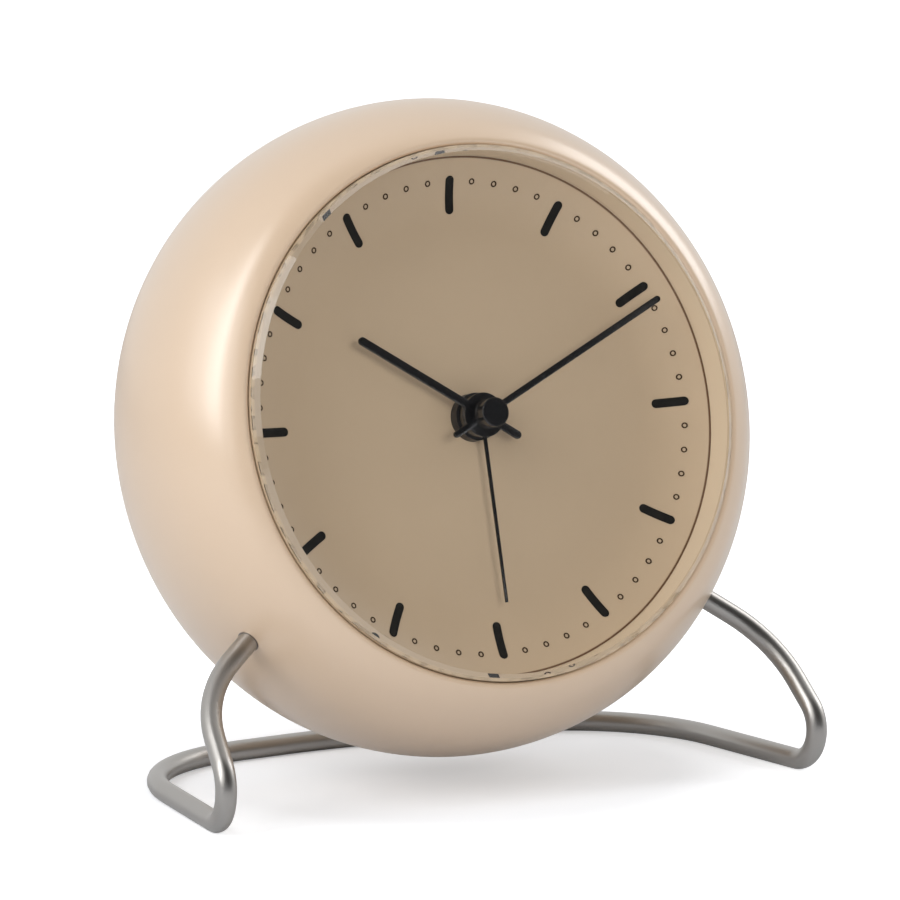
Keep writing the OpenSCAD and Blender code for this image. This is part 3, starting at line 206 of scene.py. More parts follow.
@dataclass
class Shape:
    """Vertices and faces in millimetres, gathered before they become one mesh."""

    verts: list[Vector] = field(default_factory=list)
    faces: list[tuple[int, ...]] = field(default_factory=list)
    uvs: list[list[Point]] = field(default_factory=list)

    def __add__(self, other: "Shape") -> "Shape":
        """Joins two shapes.

        Args:
            other: The second shape.

        Returns:
            Both as one shape.
        """
        start = len(self.verts)
        faces = self.faces + [tuple(start + v for v in face) for face in other.faces]
        return Shape(self.verts + other.verts, faces, self.uvs + other.uvs)

    def add(self, face: Sequence[int], uv: Sequence[Point] | None = None) -> None:
        """Adds a face.

        Args:
            face: Its vertices.
            uv: Its corners on the flat pattern, or nothing.
        """
        self.faces.append(tuple(face))
        self.uvs.append(list(uv) if uv else [(0.0, 0.0)] * len(face))

    def moved(self, matrix: Matrix) -> "Shape":
        """Returns the shape moved by a matrix."""
        return Shape([matrix @ v for v in self.verts], list(self.faces), list(self.uvs))

    def ring(self, points: Iterable[Sequence[float]]) -> list[int]:
        """Adds vertices.

        Args:
            points: Their places.

        Returns:
            Their numbers.
        """
        start = len(self.verts)
        self.verts += [Vector(point) for point in points]
        return list(range(start, len(self.verts)))

    def bridge(self, one: Sequence[int], two: Sequence[int], closed: bool = True) -> None:
        """Joins two rings of vertices by faces.

        Args:
            one: First ring, or a tip if it is one vertex.
            two: Second ring, or a tip if it is one vertex.
            closed: Whether the rings close on themselves.
        """
        count = max(len(one), len(two))
        for i in range(count if closed else count - 1):
            j = (i + 1) % count
            if len(one) == 1:
                self.add((one[0], two[i], two[j]))
            elif len(two) == 1:
                self.add((one[i], one[j], two[0]))
            else:
                self.add((one[i], one[j], two[j], two[i]))

    @classmethod
    def lathe(cls, profile: Sequence[Point], segments: int, closed: bool = True) -> "Shape":
        """Turns a profile of radius and height about Z.

        Args:
            profile: Points of radius and height.
            segments: Steps round the axis.
            closed: Whether the last point joins the first.

        Returns:
            The turned shape.
        """
        shape = cls()
        turns = [2 * math.pi * i / segments for i in range(segments)]
        rings = []
        for radius, height in profile:
            if radius < TIP_R:
                rings.append(shape.ring([(0, 0, height)]))
            else:
                rings.append(shape.ring((radius * math.cos(a), radius * math.sin(a), height) for a in turns))
        for one, two in zip(rings, rings[1:] + rings[:1] if closed else rings[1:]):
            shape.bridge(one, two)
        return shape

    @classmethod
    def plate(cls, outline: Sequence[Point], low: float, high: float, edge: float, steps: int = 2) -> "Shape":
        """Raises an outline into a plate whose rims are rounded.

        Args:
            outline: Corners, against the clock.
            low: Height of the underside.
            high: Height of the top.
            edge: Radius of the rounding at both rims.
            steps: Steps in the rounding.

        Returns:
            The plate.
        """
        shape = cls()
        corners = [Vector(corner) for corner in outline]
        inward = []
        for before, here, after in zip(corners[-1:] + corners, corners, corners[1:] + corners[:1]):
            first = Vector((before.y - here.y, here.x - before.x)).normalized()
            last = Vector((here.y - after.y, after.x - here.x)).normalized()
            normal = (first + last).normalized()
            inward.append(normal / max(0.5, normal.dot(first)))
        rounding = []
        for k in range(steps + 1):
            angle = math.pi / 2 * k / steps
            rounding.append((edge * (1 - math.sin(angle)), edge * (1 - math.cos(angle))))
        levels = [(inset, low + rise) for inset, rise in rounding]
        levels += [(inset, high - rise) for inset, rise in reversed(rounding)]
        rings = []
        for inset, height in levels:
            rings.append(shape.ring((*(at + way * inset), height) for at, way in zip(corners, inward)))
        for one, two in zip(rings, rings[1:]):
            shape.bridge(one, two)
        shape.add(tuple(reversed(rings[0])))
        shape.add(tuple(rings[-1]))
        return shape

    @classmethod
    def rod(cls, path: Sequence[Vector], radius: float, sides: int) -> "Shape":
        """Sweeps a round section along a path, with its pattern laid along it.

        Args:
            path: Points that the middle of the rod follows.
            radius: Radius of the rod.
            sides: Sides of its section.

        Returns:
            The rod with closed ends.
        """
        shape = cls()
        count = len(path)
        ways = []
        for i in range(count):
            ways.append((path[min(i + 1, count - 1)] - path[max(i - 1, 0)]).normalized())
        across = ways[0].orthogonal().normalized()
        turns = [2 * math.pi * k / sides for k in range(sides)]
        lengths = [0.0]
        rings = []
        for i in range(count):
            if i:
                lengths.append(lengths[-1] + (path[i] - path[i - 1]).length)
                across = (across - ways[i] * across.dot(ways[i])).normalized()
            other = ways[i].cross(across)
            spokes = [math.cos(turn) * across + math.sin(turn) * other for turn in turns]
            rings.append(shape.ring(path[i] + radius * spoke for spoke in spokes))
        girth = 2 * math.pi * radius
        for i in range(count - 1):
            for k in range(sides):
                j = (k + 1) % sides
                low, high = girth * k / sides, girth * (k + 1) / sides
                shape.add(
                    (rings[i][k], rings[i][j], rings[i + 1][j], rings[i + 1][k]),
                    ((lengths[i], low), (lengths[i], high), (lengths[i + 1], high), (lengths[i + 1], low)),
                )
        shape.add(tuple(reversed(rings[0])))
        shape.add(tuple(rings[-1]))
        return shape

    def piece(
        self, name: str, matrix: Matrix, finish: bpy.types.Material, sharp: float = SHARP
    ) -> bpy.types.Object:
        """Makes the shape an object of the scene.

        Args:
            name: Name of the object.
            matrix: From the shape's millimetres to metres in the part's frame.
            finish: Material of the object.
            sharp: Angle in degrees above which an edge stays sharp.

        Returns:
            The object.
        """
        mesh = bpy.data.meshes.new(name)
        mesh.from_pydata([matrix @ v for v in self.verts], [], self.faces)
        layer = mesh.uv_layers.new(name="Along")
        corners = [corner for uv in self.uvs for corner in uv]
        for loop, corner in zip(layer.data, corners):
            loop.uv = corner
        close(mesh, sharp)
        mesh.materials.append(finish)
        return linked(name, mesh)


def close(mesh: bpy.types.Mesh, sharp: float = SHARP) -> None:
    """Turns a mesh's faces outward and shades it smooth, but for its sharp edges.

    Args:
        mesh: The mesh.
        sharp: Angle in degrees above which an edge stays sharp.
    """
    tool = bmesh.new()
    tool.from_mesh(mesh)
    bmesh.ops.recalc_face_normals(tool, faces=tool.faces)
    tool.to_mesh(mesh)
    tool.free()
    mesh.shade_smooth()
    mesh.set_sharp_from_angle(angle=math.radians(sharp))


def operator(operation: str, swapped: bool = False) -> Callable[["Value", Any], "Value"]:
    """Makes a method that joins a value and another by a Math node.

    Args:
        operation: Operation of the node.
        swapped: Whether the other value comes first.

    Returns:
        The method.
    """

    def method(value: "Value", other: Any) -> "Value":
        """Returns the node's result."""
        return value.maths(operation, other, value) if swapped else value.maths(operation, value, other)

    return method


class Value:
    """Socket of a node tree: joining it with numbers or other values adds the nodes that do so."""

    def __init__(self, graph: "Graph", socket: bpy.types.NodeSocket) -> None:
        """Wraps a socket.

        Args:
            graph: Tree that the socket is in.
            socket: The socket.
        """
        self.graph = graph
        self.socket = socket

    def maths(self, operation: str, first: Any, second: Any = 0.0) -> "Value":
        """Returns a Math node's result on two values."""
        return self.graph.node("ShaderNodeMath", {"operation": operation}, {0: first, 1: second})

    __add__ = operator("ADD")
    __radd__ = operator("ADD", True)
    __sub__ = operator("SUBTRACT")
    __rsub__ = operator("SUBTRACT", True)
    __mul__ = operator("MULTIPLY")
    __rmul__ = operator("MULTIPLY", True)
    __truediv__ = operator("DIVIDE")
    __pow__ = operator("POWER")
    __gt__ = operator("GREATER_THAN")
    __lt__ = operator("LESS_THAN")

    def sine(self) -> "Value":
        """Returns the sine."""
        return self.maths("SINE", self)

    def size(self) -> "Value":
        """Returns the value without its sign."""
        return self.maths("ABSOLUTE", self)

    def about(self, reach: float) -> "Value":
        """Returns how far the value is from one half, times a reach."""
        return (self - 0.5) * reach

    def within(self, low: float, high: float) -> "Value":
        """Returns the value, no lower and no higher than two numbers."""
        return self.maths("MINIMUM", self.maths("MAXIMUM", self, low), high)


class Graph:
    """Node tree under construction."""

    def __init__(self, tree: bpy.types.NodeTree) -> None:
        """Wraps a tree.

        Args:
            tree: The node tree.
        """
        self.tree = tree

    def node(self, kind: str, settings: dict[str, Any], inputs: dict[Any, Any], out: Any = 0) -> Value:
        """Adds a node.

        Args:
            kind: Type of the node.
            settings: Its settings, set first.
            inputs: Values or links of its sockets, by name or number.
            out: Name or number of the output that is returned.

        Returns:
            That output.
        """
        made = self.tree.nodes.new(kind)
        for name, value in settings.items():
            setattr(made, name, value)
        for name, value in inputs.items():
            socket = made.inputs[name]
            if isinstance(value, Value):
                self.tree.links.new(value.socket, socket)
            elif socket.type == "RGBA" and len(value) == 3:
                socket.default_value = (*value, 1.0)
            else:
                socket.default_value = value
        return Value(self, made.outputs[out])

    def vector(self, operation: str, *inputs: Any, out: Any = 0) -> Value:
        """Returns a Vector Math node's result."""
        return self.node("ShaderNodeVectorMath", {"operation": operation}, dict(enumerate(inputs)), out)

    def parts(self, vector: Value) -> tuple[Value, Value, Value]:
        """Separates a vector.

        Args:
            vector: The vector.

        Returns:
            Its three numbers.
        """
        first = self.node("ShaderNodeSeparateXYZ", {}, {0: vector})
        outputs = first.socket.node.outputs
        return (first, Value(self, outputs[1]), Value(self, outputs[2]))

    def rays(self) -> tuple[Value, Value, Value]:
        """Tells rays apart.

        Returns:
            Three values of 0 or 1, for rays from the camera, off a gloss and through a pane.
        """
        camera = self.node("ShaderNodeLightPath", {}, {}, "Is Camera Ray")
        outputs = camera.socket.node.outputs
        return (camera, Value(self, outputs["Is Glossy Ray"]), Value(self, outputs["Is Transmission Ray"]))

    def end(self, kind: str, result: Value, name: Any = 0) -> None:
        """Links a result to the tree's output node.

        Args:
            kind: Type of the output node.
            result: What it shows.
            name: Its socket.
        """
        output = self.tree.nodes.new(kind)
        self.tree.links.new(result.socket, output.inputs[name])


class Shader(Graph):
    """Material under construction."""

    def __init__(self, label: str) -> None:
        """Starts an empty material.

        Args:
            label: Name of the material.
        """
        self.material = bpy.data.materials.new(label)
        self.material.use_nodes = True
        super().__init__(self.material.node_tree)
        self.tree.nodes.clear()

    def place(self, stretch: Triple = (1, 1, 1), kind: str = "Object") -> Value:
        """Gives coordinates on the piece.

        Args:
            stretch: Factors along the three axes.
            kind: Name of the coordinates.

        Returns:
            The coordinates.
        """
        coords = self.node("ShaderNodeTexCoord", {}, {}, kind)
        if stretch == (1, 1, 1):
            return coords
        return self.vector("MULTIPLY", coords, stretch)

    def in_case(self) -> Value:
        """Gives coordinates in the case frame.

        Returns:
            The coordinates in millimetres.
        """
        inverse = CASE.matrix().inverted()
        inputs = {
            "Vector": self.place(),
            "Rotation": tuple(inverse.to_3x3().normalized().to_euler()),
            "Scale": (1 / MM, 1 / MM, 1 / MM),
            "Location": tuple(inverse.to_translation()),
        }
        return self.node("ShaderNodeMapping", {"vector_type": "POINT"}, inputs)

    def noise(
        self, scale: float, detail: float = 2.0, vector: Value | None = None, rough: float = 0.5
    ) -> Value:
        """Returns noise between 0 and 1.

        Args:
            scale: How fine it is, in waves a metre where no vector is given.
            detail: Number of finer layers.
            vector: Coordinates, or nothing for those of the piece.
            rough: Weight of the finer layers.

        Returns:
            The noise.
        """
        inputs = {"Vector": vector or self.place(), "Scale": scale, "Detail": detail, "Roughness": rough}
        return self.node("ShaderNodeTexNoise", {"noise_dimensions": "3D"}, inputs)

    def mixed(self, share: Any, one: Any, two: Any) -> Value:
        """Returns a colour between two colours."""
        return self.node("ShaderNodeMix", {"data_type": "RGBA"}, {0: share, 6: one, 7: two}, 2)

    def relief(self, height: Value, strength: float, depth_mm: float) -> Value:
        """Returns the normal of a surface with a relief.

        Args:
            height: Height between 0 and 1.
            strength: Share of the relief that shows.
            depth_mm: Depth of the relief in millimetres.

        Returns:
            The normal.
        """
        inputs = {"Strength": strength, "Distance": depth_mm * MM, "Height": height}
        return self.node("ShaderNodeBump", {}, inputs)

    def finish(self, **sockets: Any) -> bpy.types.Material:
        """Ends the material with a Principled BSDF.

        Args:
            sockets: Its values, by their sockets' names with low lines for spaces.

        Returns:
            The material.
        """
        inputs = {name.replace("_", " "): value for name, value in sockets.items()}
        self.end("ShaderNodeOutputMaterial", self.node("ShaderNodeBsdfPrincipled", {}, inputs), "Surface")
        return self.material


@dataclass(frozen=True)
class Finish:
    """Finish of a surface: its material's name and its main colour."""

    label: str
    colour: Colour

    def tones(self, shader: Shader, share: Value, dark: float, light: float) -> Value:
        """Returns the colour, between a darker and a lighter share of it."""
        return shader.mixed(share, shaded(self.colour, dark), shaded(self.colour, light))


@dataclass(frozen=True)
class Moulded(Finish):
    """Moulded plastic: faint flow marks, a fine grain and a little uneven gloss."""

    roughness: float = 0.35
    grain_mm: float = 0.25
    grain_depth: float = 0.004
    coat: float = 0.0
    flow: float = 0.03

    def material(self) -> bpy.types.Material:
        """Builds the nodes.

        Returns:
            The material.
        """
        shader = Shader(self.label)
        flow = shader.noise(scale=55, detail=3, rough=0.6)
        speck = shader.noise(scale=1 / (3 * self.grain_mm * MM), detail=2)
        share = flow * 0.7 + speck * 0.3
        grain = shader.noise(scale=1 / (self.grain_mm * MM), detail=2)
        return shader.finish(
            Base_Color=self.tones(shader, share, 1 - self.flow, 1 + self.flow),
            Roughness=flow.about(0.08) + grain.about(0.06) + self.roughness,
            Coat_Weight=self.coat,
            Coat_Roughness=0.06,
            Normal=shader.relief(grain, 0.6, self.grain_depth),
        )


@dataclass(frozen=True)
class Lacquer(Finish):
    """Glossy lacquered shell: deep even colour, a hint of orange peel, fine dust in the gloss and painted
    shade round the stand's rod.
    """

    roughness: float = 0.42
    peel_mm: float = 1.6
    peel_depth: float = 0.0012
    coat_roughness: float = 0.29
    coat_ior: float = 1.85
    # Painted shade for the gap where the rod enters the shell: its dark brown, and its reach from the rod's
    # axis in millimetres
    painted_gap_shade: Colour = painted(74, 52, 36)
    gap_shade_r: float = 2.0

    def material(self, start: Vector, out: Vector) -> bpy.types.Material:
        """Returns the material, with painted shade in the narrow gap round the stand's rod.

        Args:
            start: Place where the rod's axis enters the right side, in the case frame.
            out: Way of the axis there.

        Returns:
            The material.
        """
        shader = Shader(self.label)
        across, along, high = shader.parts(shader.in_case())
        right = shader.node("ShaderNodeCombineXYZ", {}, {0: across.size(), 1: along, 2: high})
        off = shader.vector("SUBTRACT", right, tuple(start))
        reach = shader.vector("LENGTH", shader.vector("CROSS_PRODUCT", off, tuple(out)), out="Value")
        # Painted shade: the colour turns dark brown close round the rod's axis, standing in for the shade in
        # the gap round the rod
        gap_shade = ((self.gap_shade_r - reach) / SHADE_FADE_MM).within(0, 1)
        cloud = shader.noise(scale=22, detail=2)
        peel = shader.noise(scale=1 / (self.peel_mm * MM), detail=3)
        dust = shader.noise(scale=2600, detail=1)
        plain = self.tones(shader, cloud, 0.985, 1.015)
        return shader.finish(
            Base_Color=shader.mixed(gap_shade, plain, self.painted_gap_shade),
            Roughness=cloud.about(0.05) + (dust > 0.7) * 0.05 + self.roughness,
            Coat_Weight=1.0,
            Coat_Roughness=self.coat_roughness,
            Coat_IOR=self.coat_ior,
            Normal=shader.relief(peel, 0.5, self.peel_depth),
        )


@dataclass(frozen=True)
class DialPaint(Finish):
    """Satin paint of the dial, with the very fine speckle of sprayed lacquer."""

    # Painted shade at the dial's edge: its dark brown, and the radius in millimetres from which it starts
    painted_edge_shade: Colour
    edge_shade_r: float
    roughness: float = 0.4

    def material(self) -> bpy.types.Material:
        """Builds the paint, with painted shade along the edge of the dial, where it meets the ring.

        Returns:
            The material.
        """
        shader = Shader(self.label)
        speckle = shader.noise(scale=5200, detail=2)
        cloud = shader.noise(scale=40, detail=2)
        share = speckle * 0.35 + cloud * 0.65
        across, along, _ = shader.parts(shader.in_case())
        # Painted shade: past that radius the colour turns dark brown, for the shade in the joint between the
        # dial and the ring
        edge = ((across * across + along * along) ** 0.5 - self.edge_shade_r) / SHADE_FADE_MM
        plain = self.tones(shader, share, 0.93, 1.07)
        return shader.finish(
            Base_Color=shader.mixed(edge.within(0, 1), plain, self.painted_edge_shade),
            Roughness=speckle.about(0.12) + self.roughness,
            Normal=shader.relief(speckle, 0.35, 0.0015),
        )


@dataclass(frozen=True)
class Ink(Finish):
    """Printed ink: slightly raised, with an uneven film."""

    roughness: float = 0.72
    refraction: float = 1.3

    def material(self) -> bpy.types.Material:
        """Builds the nodes.

        Returns:
            The material.
        """
        shader = Shader(self.label)
        film = shader.noise(scale=3800, detail=3)
        return shader.finish(
            Base_Color=self.tones(shader, film, 0.8, 1.25),
            Roughness=film.about(0.2) + self.roughness,
            IOR=self.refraction,
            Normal=shader.relief(film, 0.4, 0.003),
        )


@dataclass(frozen=True)
class SatinWire(Finish):
    """Satin steel wire: fine scratches round it, laid out along its length."""

    roughness: float = 0.3

    def material(self) -> bpy.types.Material:
        """Builds the nodes.

        Returns:
            The material.
        """
        shader = Shader(self.label)
        along = shader.place((9.0, 0.8, 1.0), "UV")
        lines = shader.noise(scale=1.0, detail=4, vector=along, rough=0.65)
        wear = shader.noise(scale=160, detail=3)
        share = lines * 0.7 + wear * 0.3
        return shader.finish(
            Base_Color=self.tones(shader, share, 0.94, 1.05),
            Metallic=1.0,
            Roughness=lines.about(0.1) + wear.about(0.04) + self.roughness,
            Normal=shader.relief(lines, 0.3, 0.0016),
        )


@dataclass(frozen=True)
class Metal(Finish):
    """Cut or rolled metal: fine lines and faint tarnish."""

    roughness: float = 0.3
    stretch: Triple = (400, 400, 6000)
    tarnish: float = 0.12

    def material(self) -> bpy.types.Material:
        """Builds the nodes.

        Returns:
            The material.
        """
        shader = Shader(self.label)
        lines = shader.noise(scale=1.0, detail=3, vector=shader.place(self.stretch), rough=0.6)
        stain = shader.noise(scale=420, detail=3)
        share = lines * 0.5 + stain * 0.5
        return shader.finish(
            Base_Color=self.tones(shader, share, 1 - self.tarnish, 1 + self.tarnish / 2),
            Metallic=1.0,
            Roughness=stain.about(0.14) + lines.about(0.1) + self.roughness,
            Normal=shader.relief(lines, 0.3, 0.003),
        )


@dataclass(frozen=True)
class ClearPane(Finish):
    """Clear moulded pane with the faintest ripple."""

    refraction: float = 1.49

    def material(self) -> bpy.types.Material:
        """Builds the nodes.

        Returns:
            The material.
        """
        shader = Shader(self.label)
        ripple = shader.noise(scale=60, detail=1)
        haze = shader.noise(scale=900, detail=2)
        return shader.finish(
            Base_Color=self.tones(shader, haze, 0.995, 1),
            Roughness=(haze > 0.78) * 0.02,
            Transmission_Weight=1.0,
            IOR=self.refraction,
            Normal=shader.relief(ripple, 0.05, 0.002),
        )


@dataclass(frozen=True)
class Winding(Finish):
    """Enamelled copper wire wound side by side round a core that lies along the dial's width."""

    wire_mm: float = 0.16

    def material(self) -> bpy.types.Material:
        """Builds the nodes.

        Returns:
            The material.
        """
        shader = Shader(self.label)
        across, _, _ = shader.parts(shader.in_case())
        turns = ((across * (2 * math.pi / self.wire_mm)).sine() + 1) * 0.5
        stain = shader.noise(scale=500, detail=2)
        return shader.finish(
            # Painted shade: between the turns the colour falls to 0.45 of itself, for the shade in the
            # grooves between the wires
            Base_Color=self.tones(shader, turns * 0.7 + stain * 0.3, 0.45, 1),
            Metallic=0.85,
            Roughness=stain.about(0.1) + 0.32,
            Normal=shader.relief(turns, 0.8, 0.05),
        )


@dataclass(frozen=True)
class Board(Finish):
    """Circuit board: green mask over copper tracks, with bare pads."""

    copper: Colour = (0.62, 0.42, 0.2)
    track_mm: float = 0.9

    def material(self) -> bpy.types.Material:
        """Builds the nodes.

        Returns:
            The material.
        """
        shader = Shader(self.label)
        across, up, _ = shader.parts(shader.in_case())
        lane = math.pi / self.track_mm
        bend = shader.noise(scale=0.12, detail=0, vector=shader.in_case())
        tracks = ((across + (bend * 9)) * lane).sine() > 0.55
        pads = ((across * 1.3).sine() * (up * 1.7).sine()) > 0.93
        weave = shader.noise(scale=4200, detail=1)
        masked = self.tones(shader, tracks, 1, 1.9)
        return shader.finish(
            Base_Color=shader.mixed(pads, masked, self.copper),
            Metallic=pads * 0.9,
            Roughness=weave.about(0.1) + 0.35,
            Normal=shader.relief(tracks * 0.8 + weave * 0.2, 0.5, 0.02),
        )


@dataclass(frozen=True)
class Jacket(Finish):
    """Cell's printed jacket in two plain colours, with bare ends."""

    band: Colour
    bare: Colour = (0.6, 0.59, 0.56)
    half_mm: float = 25.0
    bare_mm: float = 0.9
    band_mm: float = 12.0

    def material(self) -> bpy.types.Material:
        """Builds the nodes.

        Returns:
            The material.
        """
        shader = Shader(self.label)
        across, _, _ = shader.parts(shader.in_case())
        ends = across.size() > self.half_mm - self.bare_mm
        band = across > self.half_mm - self.band_mm
        crease = shader.noise(scale=300, detail=3)
        skin = shader.mixed(band, self.colour, self.band)
        worn = shader.mixed(crease * 0.25, skin, shaded(self.colour, 2.0))
        return shader.finish(
            Base_Color=shader.mixed(ends, worn, self.bare),
            Metallic=ends * 0.95,
            Roughness=crease.about(0.12) + 0.3,
            Normal=shader.relief(crease, 0.3, 0.02),
        )


class Copies(Graph):
    """Geometry Nodes that copy a mesh round an axis of the case frame."""

    SOCKETS = {
        "Geometry": "Geometry",
        "Count": "Int",
        "Step": "Float",
        "Start": "Float",
        "Skip Every": "Int",
        "Axis At": "Vector",
        "Place": "Vector",
        "Turn": "Vector",
        "Weld": "Float",
        "Finish": "Material",
    }

    def __init__(self) -> None:
        """Builds the group once, for every set of copies."""
        super().__init__(bpy.data.node_groups.new("Copies round an axis", "GeometryNodeTree"))
        for name, kind in self.SOCKETS.items():
            self.tree.interface.new_socket(name, in_out="INPUT", socket_type=f"NodeSocket{kind}")
        self.tree.interface.new_socket("Geometry", in_out="OUTPUT", socket_type="NodeSocketGeometry")
        first = self.node("NodeGroupInput", {}, {})
        given = {name: Value(self, output) for name, output in zip(self.SOCKETS, first.socket.node.outputs)}
        index = self.node("GeometryNodeInputIndex", {}, {})
        left = index.maths("MODULO", index, given["Skip Every"])
        shown = (left > 0.5) + (given["Skip Every"] < 0.5)
        angle = index * given["Step"] + given["Start"]
        spin = self.node("ShaderNodeCombineXYZ", {}, {"Z": angle})
        points = self.node("GeometryNodePoints", {}, {"Count": given["Count"]})
        inputs = {
            "Points": points,
            "Selection": shown,
            "Instance": given["Geometry"],
            "Rotation": self.node("FunctionNodeEulerToRotation", {}, {0: spin}),
        }
        copies = self.node("GeometryNodeInstanceOnPoints", {}, inputs)
        inputs = {"Geometry": copies, "Translation": given["Axis At"]}
        on_axis = self.node("GeometryNodeTransform", {}, inputs)
        turned = self.node("FunctionNodeEulerToRotation", {}, {0: given["Turn"]})
        inputs = {
            "Geometry": on_axis,
            "Translation": given["Place"],
            "Rotation": turned,
            "Scale": (MM, MM, MM),
        }
        placed = self.node("GeometryNodeTransform", {}, inputs)
        real = self.node("GeometryNodeRealizeInstances", {}, {0: placed})
        welded = self.node("GeometryNodeMergeByDistance", {}, {"Geometry": real, "Distance": given["Weld"]})
        done = self.node("GeometryNodeSetMaterial", {}, {"Geometry": welded, "Material": given["Finish"]})
        self.end("NodeGroupOutput", done)

    def spread(
        self,
        name: str,
        shape: Shape,
        finish: bpy.types.Material,
        count: int,
        start: float = 0.0,
        skip: int = 0,
        axis: Triple = (0, 0, 0),
        weld_mm: float = 0.0,
    ) -> bpy.types.Object:
        """Copies a shape evenly round an axis and makes the copies one plain piece.

        Args:
            name: Name of the piece.
            shape: The shape in millimetres, with the axis on Z.
            finish: Material of the copies.
            count: Number of steps round the axis.
            start: Angle of the first, in degrees.
            skip: Every one of this number is left out, or none if 0.
            axis: Place of the axis in the case frame, in millimetres.
            weld_mm: Distance under which the copies' vertices join.

        Returns:
            The piece.
        """
        piece = shape.piece(name, Matrix.Identity(4), finish)
        case = CASE.matrix()
        values = {
            "Count": count,
            "Step": 2 * math.pi / count,
            "Start": math.radians(start),
            "Skip Every": skip,
            "Axis At": axis,
            "Place": tuple(case.to_translation()),
            "Turn": tuple(case.to_3x3().normalized().to_euler()),
            "Weld": weld_mm * MM,
            "Finish": finish,
        }
        modifier = piece.modifiers.new("Copies", "NODES")
        modifier.node_group = self.tree
        for item in self.tree.interface.items_tree:
            if item.item_type == "SOCKET" and item.in_out == "INPUT" and item.name in values:
                modifier[item.identifier] = values[item.name]
        seen = piece.evaluated_get(bpy.context.evaluated_depsgraph_get())
        mesh = bpy.data.meshes.new_from_object(seen)
        piece.modifiers.remove(modifier)
        piece.data = mesh
        close(mesh)
        return piece


def capsule(width: float, low: float, high: float, steps: int = 10) -> list[Point]:
    """Outline of a bar along Y with round ends, against the clock.

    Args:
        width: Width of the bar.
        low: Where it starts.
        high: Where it ends.
        steps: Steps in each round end.

    Returns:
        The outline.
    """
    half = width / 2
    return arc((0, high - half), half, 0, 180, steps) + arc((0, low + half), half, 180, 360, steps)


def own(piece: bpy.types.Object, body: str, slot: str, *nodes: str) -> None:
    """Hangs a piece on the body it rides on, hides the nodes of the CAD model that it stands for and logs
    them.

    Args:
        piece: The piece.
        body: Name of the body.
        slot: Name of the material slot; not used.
        nodes: Nodes of the CAD model that it replaces.
    """
    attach(piece, body)
    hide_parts(*nodes)
    log.info("%s stands for %s and has %d faces", piece.name, ", ".join(nodes), len(piece.data.polygons))


class Look(Enum):
    """How a node that keeps its CAD mesh is finished: the finish and the nodes that have it."""

    COVER = (
        Moulded("Rear cover plastic", painted(216, 190, 160), 0.42, 0.3, 0.006),
        "rear_cover battery_door",
    )
    CARRIER = (Moulded("Carrier plastic", painted(205, 190, 170), 0.5, 0.3, 0.008), "dial_carrier")
    MOVEMENT = (
        Moulded("Movement plastic", painted(30, 30, 32), 0.4, 0.25, 0.008),
        "movement_base movement_cover train_plate",
    )
    GEAR = (
        Moulded("Gear plastic", painted(236, 230, 218), 0.38, 0.12, 0.004),
        "minute_wheel hour_wheel alarm_wheel third_wheel fourth_wheel fifth_wheel rotor_pinion"
        " time_set_shaft alarm_set_shaft",
    )
    BLACK = (
        Moulded("Black plastic", painted(38, 38, 41), 0.42, 0.2, 0.006),
        "alarm_switch alarm_switch_body snooze_switch buzzer",
    )
    RESIN = (Moulded("Chip resin", painted(30, 30, 32), 0.55, 0.08, 0.006), "control_chip")
    STEEL = (
        Metal("Screw steel", (0.5, 0.49, 0.47), 0.3),
        "stand_screws stand_washers carrier_screws movement_screws",
    )
    BRASS = (Metal("Wheel brass", (0.60, 0.42, 0.14), 0.28), "cannon_pinion centre_wheel")
    MAGNET = (Metal("Sintered magnet", (0.09, 0.09, 0.10), 0.5, (1800, 1800, 1800), 0.3), "rotor_magnet")
    IRON = (Metal("Core iron", (0.30, 0.31, 0.32), 0.4), "stator coil_core")
    NICKEL = (Metal("Contact nickel", (0.62, 0.56, 0.42), 0.26), "battery_plus_contact battery_minus_contact")
    BRONZE = (Metal("Spring bronze", (0.60, 0.40, 0.18), 0.3), "alarm_contact")
    CAN = (Metal("Crystal can", (0.60, 0.60, 0.62), 0.16), "quartz_crystal")
    COPPER = (Winding("Coil copper", (0.48, 0.18, 0.07)), "coil")
    BOARD = (Board("Board green", (0.03, 0.14, 0.06)), "circuit_board")
    JACKET = (Jacket("Cell jacket", (0.30, 0.12, 0.02), (0.55, 0.36, 0.10)), "battery")


